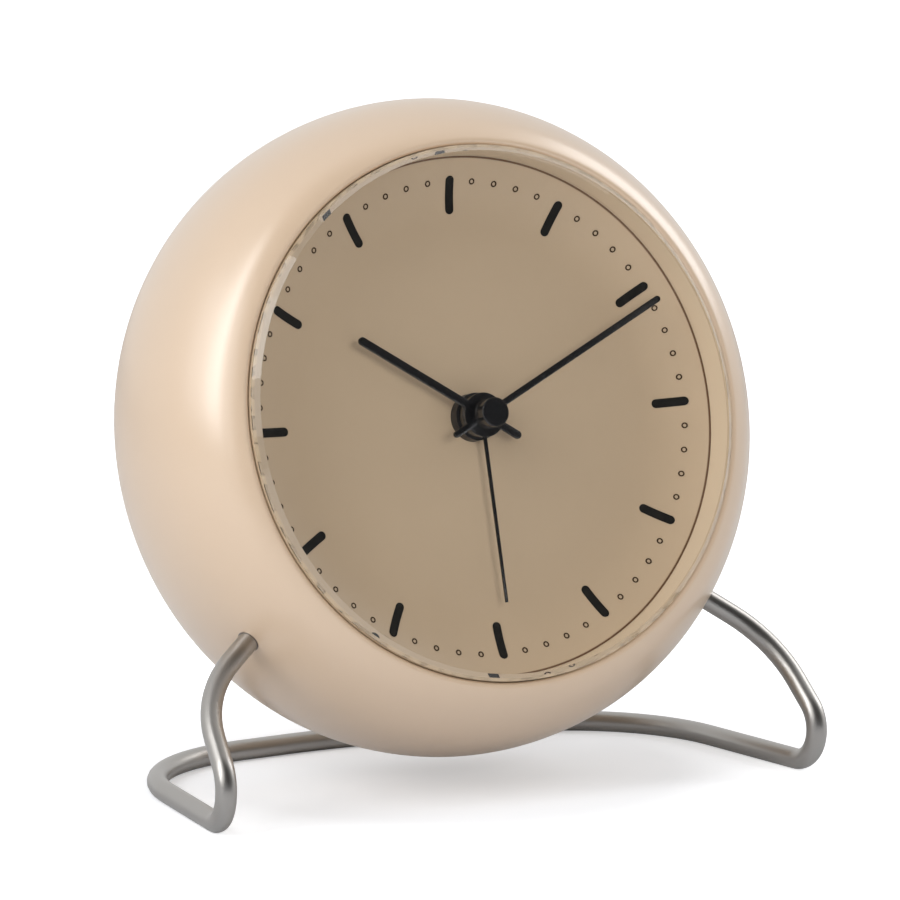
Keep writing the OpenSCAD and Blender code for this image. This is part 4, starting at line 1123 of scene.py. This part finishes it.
@dataclass
class Case:
    """Shell of the clock, turned about the dial's axis."""

    shell_r: float = 55.0
    side_r: float = 42.0
    side_end: float = 12.0
    shoulder_r: float = 24.0
    shoulder_end: float = 40.0
    rim_r: float = 9.0
    lip_r: float = 0.85
    depth: float = 37.4
    opening_r: float = 44.3
    back_r: float = 39.5
    wall: float = 2.4
    front_ledge: Triple = (38.9, -6.35, -4.75)
    back_ledge: Triple = (37.2, -34.6, -33.0)
    back_edge: float = 0.35
    ledge_inset: float = 4.6
    support: float = 0.4
    back_support: float = 0.3
    finish: Lacquer = Lacquer("Housing lacquer", painted(214, 188, 160))

    def centres(self) -> tuple[float, Point, Point, Point]:
        """Works out the arcs of the shell's outside.

        Returns:
            The equator's height and the centres of the shoulder, rim and lip arcs.
        """
        end, far = math.radians(self.side_end), math.radians(self.shoulder_end)
        rise = (self.side_r - self.shoulder_r) * math.sin(end)
        lift = (self.shoulder_r - self.rim_r) * math.sin(far)
        equator = -(self.depth - rise - lift - self.rim_r)
        shoulder = (
            self.shell_r - self.side_r + (self.side_r - self.shoulder_r) * math.cos(end),
            equator + rise,
        )
        rim = (shoulder[0] + (self.shoulder_r - self.rim_r) * math.cos(far), shoulder[1] + lift)
        reach = self.opening_r + self.lip_r
        height = rim[1] + math.sqrt((self.rim_r - self.lip_r) ** 2 - (reach - rim[0]) ** 2)
        return equator, shoulder, rim, (reach, height)

    def profile(self) -> list[Point]:
        """Draws the closed section of the shell.

        Returns:
            Its points of radius and height.
        """
        equator, shoulder, rim, lip = self.centres()
        side = (self.shell_r - self.side_r, equator)
        lip_start = math.degrees(math.atan2(lip[1] - rim[1], lip[0] - rim[0]))

        def sweep(last: float, steps: int) -> list[Point]:
            """Draws the outside from the equator on.

            Args:
                last: Angle on the rim where it ends, in degrees.
                steps: Steps along the rim.

            Returns:
                The points.
            """
            curve = arc(side, self.side_r, 0, self.side_end, 5)[:-1]
            curve += arc(shoulder, self.shoulder_r, self.side_end, self.shoulder_end, 8)[:-1]
            return curve + arc(rim, self.rim_r, self.shoulder_end, last, steps)

        front = sweep(lip_start, 9)[:-1]
        back = [(r, 2 * equator - z) for r, z in sweep(90, 12)[1:]]
        lips = arc(lip, self.lip_r, lip_start, 180, 9)
        inner = [
            (self.opening_r, lip[1] - self.support),
            (self.opening_r, self.front_ledge[2]),
            (self.front_ledge[0], self.front_ledge[2]),
            (self.front_ledge[0], self.front_ledge[1]),
            (self.shell_r - self.ledge_inset, self.front_ledge[1]),
        ]
        inner += arc(side, self.side_r - self.wall, self.side_end, -self.side_end, 6)
        inner += [
            (self.opening_r, self.back_ledge[2]),
            (self.back_ledge[0], self.back_ledge[2]),
            (self.back_ledge[0], self.back_ledge[1]),
            (self.back_r, self.back_ledge[1]),
            (self.back_r, -self.depth + self.back_edge + self.back_support),
        ]
        reach = self.back_r + self.back_edge
        inner += arc((reach, -self.depth + self.back_edge), self.back_edge, 180, 270, 4)
        inner += [(reach + self.back_support, -self.depth)]
        return front + lips + inner + list(reversed(back))

    def build(self, stand: "Stand") -> None:
        """Makes the shell.

        Args:
            stand: Stand whose rod goes into the shell's sides.
        """
        shape = Shape.lathe(self.profile(), TURNED)
        piece = shape.piece("Housing", CASE.matrix(), self.finish.material(*stand.entrance(self)), sharp=50)
        own(piece, "case", "shell_gloss", "housing")


@dataclass
class Stand:
    """Bent steel rod whose two ends go into the sides of the shell."""

    radius: float = 1.75
    drop: float = 37.7
    entry: float = 12.0
    inside: float = 5.0
    stem: float = 13.6
    front: Point = (55.9, -27.4)
    rear: Point = (48.7, 34.3)
    back: Point = (10.8, 38.6)
    bends: tuple[float, ...] = (0, 19.6, 5.8, 29, 100, 0)
    bend_step: float = 5.0
    support: float = 0.4
    finish: SatinWire = SatinWire("Rod steel", (0.43, 0.414, 0.394), 0.35)

    def entrance(self, case: Case) -> tuple[Vector, Vector]:
        """Finds where the rod goes into the right side of the shell.

        Args:
            case: The shell.

        Returns:
            The place on the rod's axis and its way out, in the case frame.
        """
        drop, tip = math.radians(self.drop), math.radians(self.entry)
        out = Vector((math.cos(tip) * math.cos(drop), -math.cos(tip) * math.sin(drop), math.sin(tip)))
        equator = case.centres()[0]
        reach = case.shell_r - case.side_r + case.side_r * math.cos(tip)
        height = equator + case.side_r * math.sin(tip)
        return Vector((reach * math.cos(drop), -reach * math.sin(drop), height)), out

    def corners(self, case: Case) -> list[Vector]:
        """Finds the corners of the right half's route.

        Args:
            case: The shell.

        Returns:
            The corners in millimetres in the part's frame.
        """
        start, out = self.entrance(case)
        to_floor = Matrix.Scale(1 / MM, 4) @ CASE.matrix()
        ends = [to_floor @ (start - self.inside * out), to_floor @ (start + self.stem * out)]
        places = [self.front, self.rear, self.back, (0.0, self.back[1])]
        return ends + [Vector((x, y - CASE.forward, self.radius)) for x, y in places]

    def route(self, case: Case) -> list[Vector]:
        """Rounds the route's corners and mirrors it.

        Args:
            case: The shell.

        Returns:
            Points along the whole rod, from its right end to its left.
        """
        corners = self.corners(case)
        half = [corners[0]]
        for i in range(1, len(corners) - 1):
            into = (corners[i] - corners[i - 1]).normalized()
            away = (corners[i + 1] - corners[i]).normalized()
            turn = into.angle(away)
            reach = self.bends[i] * math.tan(turn / 2)
            start = corners[i] - into * reach
            middle = start + (away - into * away.dot(into)).normalized() * self.bends[i]
            axis = into.cross(away).normalized()
            steps = max(6, round(math.degrees(turn) / self.bend_step))
            half.append(start - into * self.support)
            for k in range(steps + 1):
                half.append(middle + Matrix.Rotation(turn * k / steps, 3, axis) @ (start - middle))
            half.append(half[-1] + away * self.support)
        far = [Vector((-p.x, p.y, p.z)) for p in reversed(half)]
        return half + [corners[-1]] + far

    def build(self, case: Case) -> None:
        """Makes the rod.

        Args:
            case: The shell.
        """
        shape = Shape.rod(self.route(case), self.radius, sides=40)
        piece = shape.piece("Stand_rod", FLOOR, self.finish.material(), sharp=50)
        own(piece, "case", "steel_rod", "stand")


@dataclass
class Face:
    """Dial with its printed bars and dots, the ring round it, its gasket and the lens."""

    dial_r: float = 43.1
    dial_t: float = 0.8
    depth: float = 1.95
    dish_start: float = 31.8
    dish_r: float = 20.0
    dish_steps: int = 14
    flat_rings: tuple[float, ...] = (4.3, 12, 22, 30, 31.5)
    bore: float = 4.0
    ring_r: float = 44.2
    ring_top: float = 6.6
    flare: float = 0.25
    gasket_top: float = 7.0
    lens_top: float = 8.4
    bevel: float = 1.1
    bar: Triple = (1.5, 33.9, 40.1)
    bar_steps: int = 8
    dots_r: float = 39.2
    dot_d: float = 1.0
    dot_line: float = 0.22
    dot_steps: int = 28
    film: float = 0.08
    sunk: float = -0.02
    least_half: float = 0.04
    wall_edge: float = 0.06
    seat_edge: float = 0.1
    lens_edge: float = 0.05
    # The dark brown from 42.75 mm out is painted shade where the dial meets the ring
    paint: DialPaint = DialPaint("Dial paint", painted(188, 166, 138), painted(96, 66, 40), 42.75)
    black: Ink = Ink("Bar ink", painted(20, 19, 17))
    brown: Ink = Ink("Dot ink", painted(58, 42, 28))
    ring: Moulded = Moulded("Ring plastic", painted(217, 197, 169), 0.35, 0.2, 0.003)
    rubber: Moulded = Moulded("Gasket", painted(196, 173, 143), 0.5, 0.2, 0.003)
    pane: ClearPane = ClearPane("Lens", (1.0, 1.0, 1.0))

    def height(self, radius: float) -> float:
        """Works out the height of the dial's face.

        Args:
            radius: Distance from the dial's axis.

        Returns:
            The height there.
        """
        if radius <= self.dish_start:
            return -self.depth
        rise = self.dish_r - math.sqrt(self.dish_r**2 - (radius - self.dish_start) ** 2)
        return rise - self.depth

    def dial(self) -> Shape:
        """Turns the dial, flat in the middle and dished towards its rim.

        Returns:
            The dial.
        """
        front = [(r, self.height(r)) for r in (self.bore, *self.flat_rings)]
        for k in range(self.dish_steps + 1):
            radius = self.dish_start + (self.dial_r - self.dish_start) * k / self.dish_steps
            front.append((radius, self.height(radius)))
        end = -90 + math.degrees(math.asin((self.dial_r - self.dish_start) / (self.dish_r + self.dial_t)))
        centre = (self.dish_start, self.dish_r - self.depth)
        under = arc(centre, self.dish_r + self.dial_t, end, -90, 10)
        return Shape.lathe(front + under + [(self.bore, -self.depth - self.dial_t)], TURNED)

    def on_dial(self, across: float, along: float, lift: float) -> Triple:
        """Returns a place over the dial's face."""
        return (across, along, self.height(math.hypot(across, along)) + lift)

    def printed(self, rows: Sequence[Point], columns: int) -> Shape:
        """Lays a film of ink on the dial's face.

        Args:
            rows: Place along Y and half width of each row across the film.
            columns: Steps across it.

        Returns:
            The film.
        """
        shape = Shape()
        for lift in (self.film, self.sunk):
            for along, half in rows:
                places = [half * (2 * k / columns - 1) for k in range(columns + 1)]
                shape.ring(self.on_dial(across, along, lift) for across in places)
        wide, size = columns + 1, len(rows) * (columns + 1)
        for i in range(len(rows) - 1):
            for k in range(columns):
                here = i * wide + k
                shape.add((here, here + 1, here + wide + 1, here + wide))
                shape.add((size + here, size + here + wide, size + here + wide + 1, size + here + 1))
        rim = list(range(wide)) + [i * wide + columns for i in range(1, len(rows))]
        rim += [size - 1 - k for k in range(1, wide)] + [i * wide for i in range(len(rows) - 2, 0, -1)]
        for here, there in zip(rim, rim[1:] + rim[:1]):
            shape.add((here, size + here, size + there, there))
        return shape

    def marker(self) -> Shape:
        """Prints one bar with round ends.

        Returns:
            The bar.
        """
        width, low, high = self.bar
        half = width / 2
        steps, least = self.bar_steps, self.least_half
        turns = [math.pi / 2 * k / steps for k in range(steps + 1)]
        rows = [(low + half * (1 - math.cos(turn)), max(least, half * math.sin(turn))) for turn in turns]
        rows += [(low + half + (high - low - width) * k / steps, half) for k in range(1, steps)]
        rows += [(high - half * (1 - math.sin(turn)), max(least, half * math.cos(turn))) for turn in turns]
        return self.printed(rows, columns=6)

    def dot(self) -> Shape:
        """Prints one small ring.

        Returns:
            The ring.
        """
        shape = Shape()
        outer = self.dot_d / 2
        inner = outer - self.dot_line
        turns = [2 * math.pi * i / self.dot_steps for i in range(self.dot_steps)]
        rings = []
        for radius, lift in ((outer, self.sunk), (outer, self.film), (inner, self.film), (inner, self.sunk)):
            spots = [(radius * math.cos(turn), self.dots_r + radius * math.sin(turn)) for turn in turns]
            rings.append(shape.ring(self.on_dial(across, along, lift) for across, along in spots))
        for one, two in zip(rings, rings[1:] + rings[:1]):
            shape.bridge(one, two)
        return shape

    def band(self, inner: float, low: float, high: float, edge: float) -> Shape:
        """Returns a band inside the shell's opening.

        Args:
            inner: Radius of the inside, at the low end.
            low: Height of the low end.
            high: Height of the high end.
            edge: Rounding of its corners.

        Returns:
            The band.
        """
        corners = [(inner, low), (self.ring_r, low), (self.ring_r, high), (self.dial_r + self.flare, high)]
        return Shape.lathe(eased(corners, edge), TURNED)

    def build(self, copies: Copies) -> None:
        """Makes the face.

        Args:
            copies: The group that lays out the bars and dots.
        """
        place = CASE.matrix()
        dial = self.dial().piece("Dial_plate", place, self.paint.material(), sharp=40)
        own(dial, "case", "dial_paint", "dial")
        bars = copies.spread("Hour_bars", self.marker(), self.black.material(), count=12)
        own(bars, "case", "ink_black", "hour_markers")
        dots = copies.spread("Minute_rings", self.dot(), self.brown.material(), count=60, skip=5)
        own(dots, "case", "ink_brown", "minute_dots")
        ring = self.band(self.dial_r, self.height(self.dial_r), self.ring_top, self.wall_edge)
        wall = ring.piece("Dial_ring", place, self.ring.material(), sharp=50)
        own(wall, "case", "ring_satin", "dial_ring")
        seat = self.band(self.dial_r + self.flare, self.ring_top, self.gasket_top, self.seat_edge)
        gasket = seat.piece("Lens_seat", place, self.rubber.material(), sharp=50)
        own(gasket, "case", "gasket_clear", "lens_gasket")
        corners = [
            (0.0, self.gasket_top),
            (self.ring_r, self.gasket_top),
            (self.ring_r, self.lens_top - self.bevel),
            (self.ring_r - self.bevel, self.lens_top),
            (0.0, self.lens_top),
        ]
        pane = Shape.lathe(eased(corners, self.lens_edge, steps=2, closed=False), segments=256, closed=False)
        lens = pane.piece("Lens_pane", place, self.pane.material(), sharp=25)
        lens.visible_shadow = False
        lens.visible_diffuse = False
        own(lens, "case", "lens_clear", "lens")


@dataclass(frozen=True)
class Hand:
    """One hand: a turned boss over its arbor and a flat arm, with heights over the dial's frame."""

    name: str
    angle: float
    bore: float
    boss_r: float
    boss: Pair
    boss_edge: float
    outline: Sequence[Point]
    arm: Pair
    arm_edge: float = 0.1

    def build(self, finish: bpy.types.Material) -> None:
        """Makes the hand, turned to its angle on the clock.

        Args:
            finish: Its material.
        """
        low, high = self.boss
        section = [(self.bore, low), (self.boss_r, low), (self.boss_r, high), (self.bore, high)]
        shape = Shape.lathe(eased(section, self.boss_edge), segments=72)
        arm = Shape.plate(self.outline, *self.arm, self.arm_edge)
        shape += arm.moved(Matrix.Rotation(-math.radians(self.angle), 4, "Z"))
        piece = shape.piece(f"{self.name.capitalize()}_hand_arm", CASE.matrix(), finish)
        own(piece, f"{self.name}_hand_group", "hand_black", f"{self.name}_hand")


@dataclass
class Hands:
    """Hands of the clock and the cap over their bosses."""

    needle: tuple[Point, ...] = ((-0.31, 0), (0.31, 0), (0.23, 31), (-0.23, 31))
    cap_r: float = 2.45
    cap_low: float = 4.1
    cap_high: float = 6.6
    bevel: float = 0.15
    cap_edge: float = 0.06
    needle_edge: float = 0.05
    finish: Moulded = Moulded("Hand black", painted(15, 15, 17), 0.25, 0.15, 0.002, 0.3)

    def build(self) -> None:
        """Makes the hands."""
        finish = self.finish.material()
        long = capsule(width=1.1, low=-7.2, high=38.9)
        short = capsule(width=1.4, low=-7.5, high=25.4)
        needle = eased(self.needle, self.needle_edge)
        for hand in (
            Hand("minute", 63.6, 1.0, self.cap_r, (2.9, self.cap_low), 0.16, long, (3.05, 3.6)),
            Hand("hour", 303.0, 1.75, 3.7, (2.05, 2.6), 0.12, short, (2.05, 2.6)),
            Hand("alarm", 178.8, 2.6, 3.6, (0.35, 1.75), 0.14, needle, (1.4, 1.75), 0.02),
        ):
            hand.build(finish)
        corners = [
            (0.0, self.cap_low),
            (self.cap_r, self.cap_low),
            (self.cap_r, self.cap_high - self.bevel),
            (self.cap_r - self.bevel, self.cap_high),
            (0.0, self.cap_high),
        ]
        cap = Shape.lathe(eased(corners, self.cap_edge, steps=2, closed=False), segments=96, closed=False)
        top = cap.piece("Hub_cap", CASE.matrix(), finish, sharp=40)
        own(top, "minute_hand_group", "hand_black", "hand_cap")


@dataclass
class Rear:
    """Controls and screws on the rear cover."""

    cover_z: float = -37.0
    knob_base: float = -37.3
    knob_r: float = 6.0
    knob_h: float = 4.6
    knob_bore: float = 1.5
    knob_at: Point = (12.5, 9.0)
    grooves: int = 24
    groove_r: float = 0.4
    groove_rim: float = 1.12
    groove_steps: int = 8
    rim: float = 0.55
    button_at: float = 24.0
    button_r: float = 5.0
    button_out: float = 1.2
    flange_out: float = 1.2
    flange: Pair = (2.7, 3.7)
    screw_circle: float = 35.6
    head_r: float = 1.7
    head_h: float = 1.2
    slot: float = 0.5
    head_edge: float = 0.05
    cheek_edge: float = 0.07
    plastic: Moulded = Moulded("Control plastic", painted(222, 198, 170), 0.34, 0.25, 0.004)
    steel: Metal = Metal("Cover screw steel", (0.5, 0.49, 0.47), 0.26)

    def knob(self) -> Shape:
        """Draws a knob's skin over one groove.

        Returns:
            The skin, which the copies close round the knob.
        """
        top = self.knob_base - self.knob_h
        levels = [(0.0, top), (2.4, top), (self.knob_r - self.rim - 0.6, top)]
        levels += arc((self.knob_r - self.rim, top + self.rim), self.rim, -90, 0, 5)
        levels += [
            (self.knob_r, self.knob_base - 0.3),
            (self.knob_r - 0.2, self.knob_base),
            (self.knob_bore, self.knob_base),
            (self.knob_bore, self.knob_base - self.knob_h / 2),
            (0.0, self.knob_base - self.knob_h / 2),
        ]
        pitch = math.pi / self.grooves
        half = 2 * math.asin(self.groove_r / 2 / self.knob_r)
        lands = [pitch, (pitch + half) / 2, half * self.groove_rim]
        section = [(-turn, self.knob_r) for turn in lands]
        for k in range(self.groove_steps + 1):
            turn = math.pi * k / self.groove_steps
            x = self.knob_r - self.groove_r * math.sin(turn)
            y = -self.groove_r * math.cos(turn)
            section.append((math.atan2(y, x), math.hypot(x, y)))
        section += [(turn, self.knob_r) for turn in reversed(lands)]
        shape = Shape()
        rings = []
        for radius, height in levels:
            spokes = [(turn, min(radius, most)) for turn, most in (section if radius else section[:1])]
            rings.append(shape.ring((r * math.cos(turn), r * math.sin(turn), height) for turn, r in spokes))
        for one, two in zip(rings, rings[1:]):
            shape.bridge(one, two, False)
        return shape

    def screw(self) -> Shape:
        """Makes a screw's slotted head, at its place on the circle of screws.

        Returns:
            The head.
        """
        floor = self.cover_z + self.slot
        under = self.cover_z + self.head_h
        section = [(0.0, floor), (self.head_r, floor), (self.head_r, under), (0.0, under)]
        head = Shape.lathe(eased(section, self.head_edge, steps=2, closed=False), segments=40, closed=False)
        reach = math.degrees(math.acos(self.slot / 2 / self.head_r))
        cheek = arc((0, 0), self.head_r, -reach, reach, 20)
        half = Shape.plate(cheek, self.cover_z, floor + self.head_edge, self.cheek_edge)
        head += half
        head += half.moved(Matrix.Rotation(math.pi, 4, "Z"))
        return head.moved(Matrix.Translation((self.screw_circle, 0, 0)))

    def button(self) -> Shape:
        """Turns the button, with its dished face and the flange that holds it in.

        Returns:
            The button.
        """
        top = self.cover_z - self.button_out
        section = [(0.0, top + 0.35), (1.4, top + 0.32), (2.8, top + 0.2), (3.9, top + 0.05)]
        section += arc((self.button_r - 0.4, top + 0.4), 0.4, -90, 0, 5)
        low, high = (self.cover_z + height for height in self.flange)
        reach = self.button_r + self.flange_out
        section += [(self.button_r, low), (reach, low), (reach, high), (self.flange_out, high), (0.0, high)]
        button = Shape.lathe(section, segments=72, closed=False)
        return button.moved(Matrix.Translation((0, self.button_at, 0)))

    def build(self, copies: Copies) -> None:
        """Makes the controls.

        Args:
            copies: The group that lays out the knobs' grooves and the screws.
        """
        plastic = self.plastic.material()
        for name, side, body, node in (
            ("Time_knob", -1, "time_set_group", "time_set_knob"),
            ("Alarm_knob", 1, "alarm_set_group", "alarm_set_knob"),
        ):
            axis = (side * self.knob_at[0], self.knob_at[1], 0.0)
            knob = copies.spread(name, self.knob(), plastic, self.grooves, axis=axis, weld_mm=0.004)
            own(knob, body, "cover_satin", node)
        button = self.button().piece("Light_button", CASE.matrix(), plastic, sharp=40)
        own(button, "snooze_button_body", "cover_satin", "snooze_button")
        screws = copies.spread("Cover_screws", self.screw(), self.steel.material(), count=3, start=30)
        own(screws, "case", "screw_steel", "rear_cover_screws")


@dataclass(frozen=True)
class Lamp:
    """Soft box at a bearing and height in degrees; no gloss or pane shows one that isn't mirrored."""

    label: str
    bearing: Pair
    away: float
    size: Pair
    radiance: float
    mirrored: bool = True
    aim: Triple = (0.0, 0.0, 0.06)

    def build(self) -> None:
        """Makes the lamp, facing the clock."""
        data = bpy.data.lights.new(self.label, "AREA")
        data.shape = "RECTANGLE"
        data.size, data.size_y = self.size
        data.energy = self.radiance * math.pi * self.size[0] * self.size[1]
        lamp = linked(self.label, data)
        out = way_to(*self.bearing)
        lamp.location = Vector(self.aim) + out * self.away
        lamp.visible_glossy = self.mirrored
        lamp.visible_transmission = self.mirrored
        lamp.rotation_euler = (-out).to_track_quat("-Z", "Y").to_euler()


@dataclass
class Studio:
    """Camera, floor, backdrop and lamps."""

    azimuth: float = -27.73
    elevation: float = 8.64
    spot: Triple = (-0.4620, -0.8829, 0.2060)
    lens: float = 241.83
    floor_r: float = 3.0
    floor_inner: float = 0.4
    floor_grey: float = 0.72
    floor_tone: Triple = (0.98, 1.0, 1.04)
    floor_glow: float = 0.34
    floor_rise: Pair = (0.04, 0.085)
    floor_shine: float = 0.12
    ambient: float = 0.18
    ambient_behind: float = 0.5
    room_edge: float = 0.35
    room_blend: float = 2.5
    room_dark: float = 0.04
    room_bright: float = 0.85
    lamps: tuple[Lamp, ...] = (
        Lamp("Key", (-76, 28), 1.1, (1.32, 0.80), 1.45),
        Lamp("Strip", (-79, 35), 1.08, (0.34, 1.04), 3.8),
        Lamp("Side", (88, 31), 1.1, (0.5, 0.6), 3.3),
        Lamp("Front", (-9, 15), 1.1, (0.3, 0.36), 11.0, mirrored=False),
    )

    def camera(self) -> None:
        """Makes the camera."""
        data = bpy.data.cameras.new("Camera")
        data.lens = self.lens
        data.sensor_width = 36
        data.clip_end = 20
        camera = linked("Camera", data)
        inward = -way_to(self.azimuth, self.elevation)
        camera.location = self.spot
        camera.rotation_euler = inward.to_track_quat("-Z", "Y").to_euler()
        bpy.context.scene.camera = camera

    def world(self) -> None:
        """Makes the surroundings: white where they are seen, dimmer where they light."""
        world = bpy.data.worlds.new("Studio")
        bpy.context.scene.world = world
        world.use_nodes = True
        graph = Graph(world.node_tree)
        graph.tree.nodes.clear()
        camera, glossy, passed = graph.rays()
        way = graph.node("ShaderNodeTexCoord", {}, {}, "Generated")
        turn = math.radians(self.azimuth)
        inward = (-math.sin(turn), math.cos(turn), 0.0)
        ahead = graph.vector("DOT_PRODUCT", way, inward, out="Value")
        backdrop = ((ahead + self.room_edge) * self.room_blend).within(0, 1)
        white = passed * (1 - self.room_bright) + self.room_bright
        room = backdrop * (white - self.room_dark) + self.room_dark
        mirrored = (glossy + passed).within(0, 1)
        plain = backdrop * (self.ambient_behind - self.ambient) + self.ambient
        strength = camera + (1 - camera) * (mirrored * room + (1 - mirrored) * plain)
        shown = graph.node("ShaderNodeBackground", {}, {0: (1, 1, 1), 1: strength})
        graph.end("ShaderNodeOutputWorld", shown)

    def floor(self) -> None:
        """Makes the floor, which keeps the soft shadow and is white beyond it."""
        section = [(0.0, 0.0), (self.floor_inner, 0.0), (self.floor_r, 0.0)]
        shape = Shape.lathe(section, segments=96, closed=False)
        shader = Shader("Floor")
        grain = shader.noise(scale=1400, detail=2)
        tone = shaded(self.floor_tone, self.floor_grey)
        grey = shader.mixed(grain, shaded(tone, 0.995), shaded(tone, 1.005))
        paper = shader.node("ShaderNodeBsdfDiffuse", {}, {"Color": grey})
        camera, glossy, passed = shader.rays()
        seen = (camera + passed).within(0, 1)
        across, along, _ = shader.parts(shader.place())
        near, far = self.floor_rise
        rise = (((across * across + along * along) ** 0.5 - near) / (far - near)).within(0, 1)
        level = seen * (rise * (1 - self.floor_glow) + self.floor_glow) + glossy * rise * self.floor_shine
        glow = shader.node("ShaderNodeEmission", {}, {"Color": (1, 1, 1), "Strength": level})
        both = shader.node("ShaderNodeAddShader", {}, {0: paper, 1: glow})
        shader.end("ShaderNodeOutputMaterial", both, "Surface")
        floor = shape.piece("Floor", Matrix.Identity(4), shader.material)
        if floor.data.polygons[0].normal.z < 0:
            floor.data.flip_normals()

    def build(self) -> None:
        """Makes the studio."""
        self.camera()
        self.world()
        self.floor()
        for lamp in self.lamps:
            lamp.build()
        bpy.context.scene.view_settings.view_transform = "Standard"


def dress() -> None:
    """Gives every node that keeps its CAD mesh a material."""
    for look in Look:
        finish, names = look.value
        material = finish.material()
        for name in names.split():
            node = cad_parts[name]
            for held in node.material_slots:
                held.material = material
            log.info("%s is finished as %s", name, finish.label)


def main() -> None:
    """Builds the clock's pieces and the studio."""
    logging.basicConfig(level=logging.INFO, format="%(message)s")
    copies = Copies()
    case, stand = Case(), Stand()
    case.build(stand)
    stand.build(case)
    Face().build(copies)
    Hands().build()
    Rear().build(copies)
    dress()
    Studio().build()


if __name__ == "__main__":
    main()
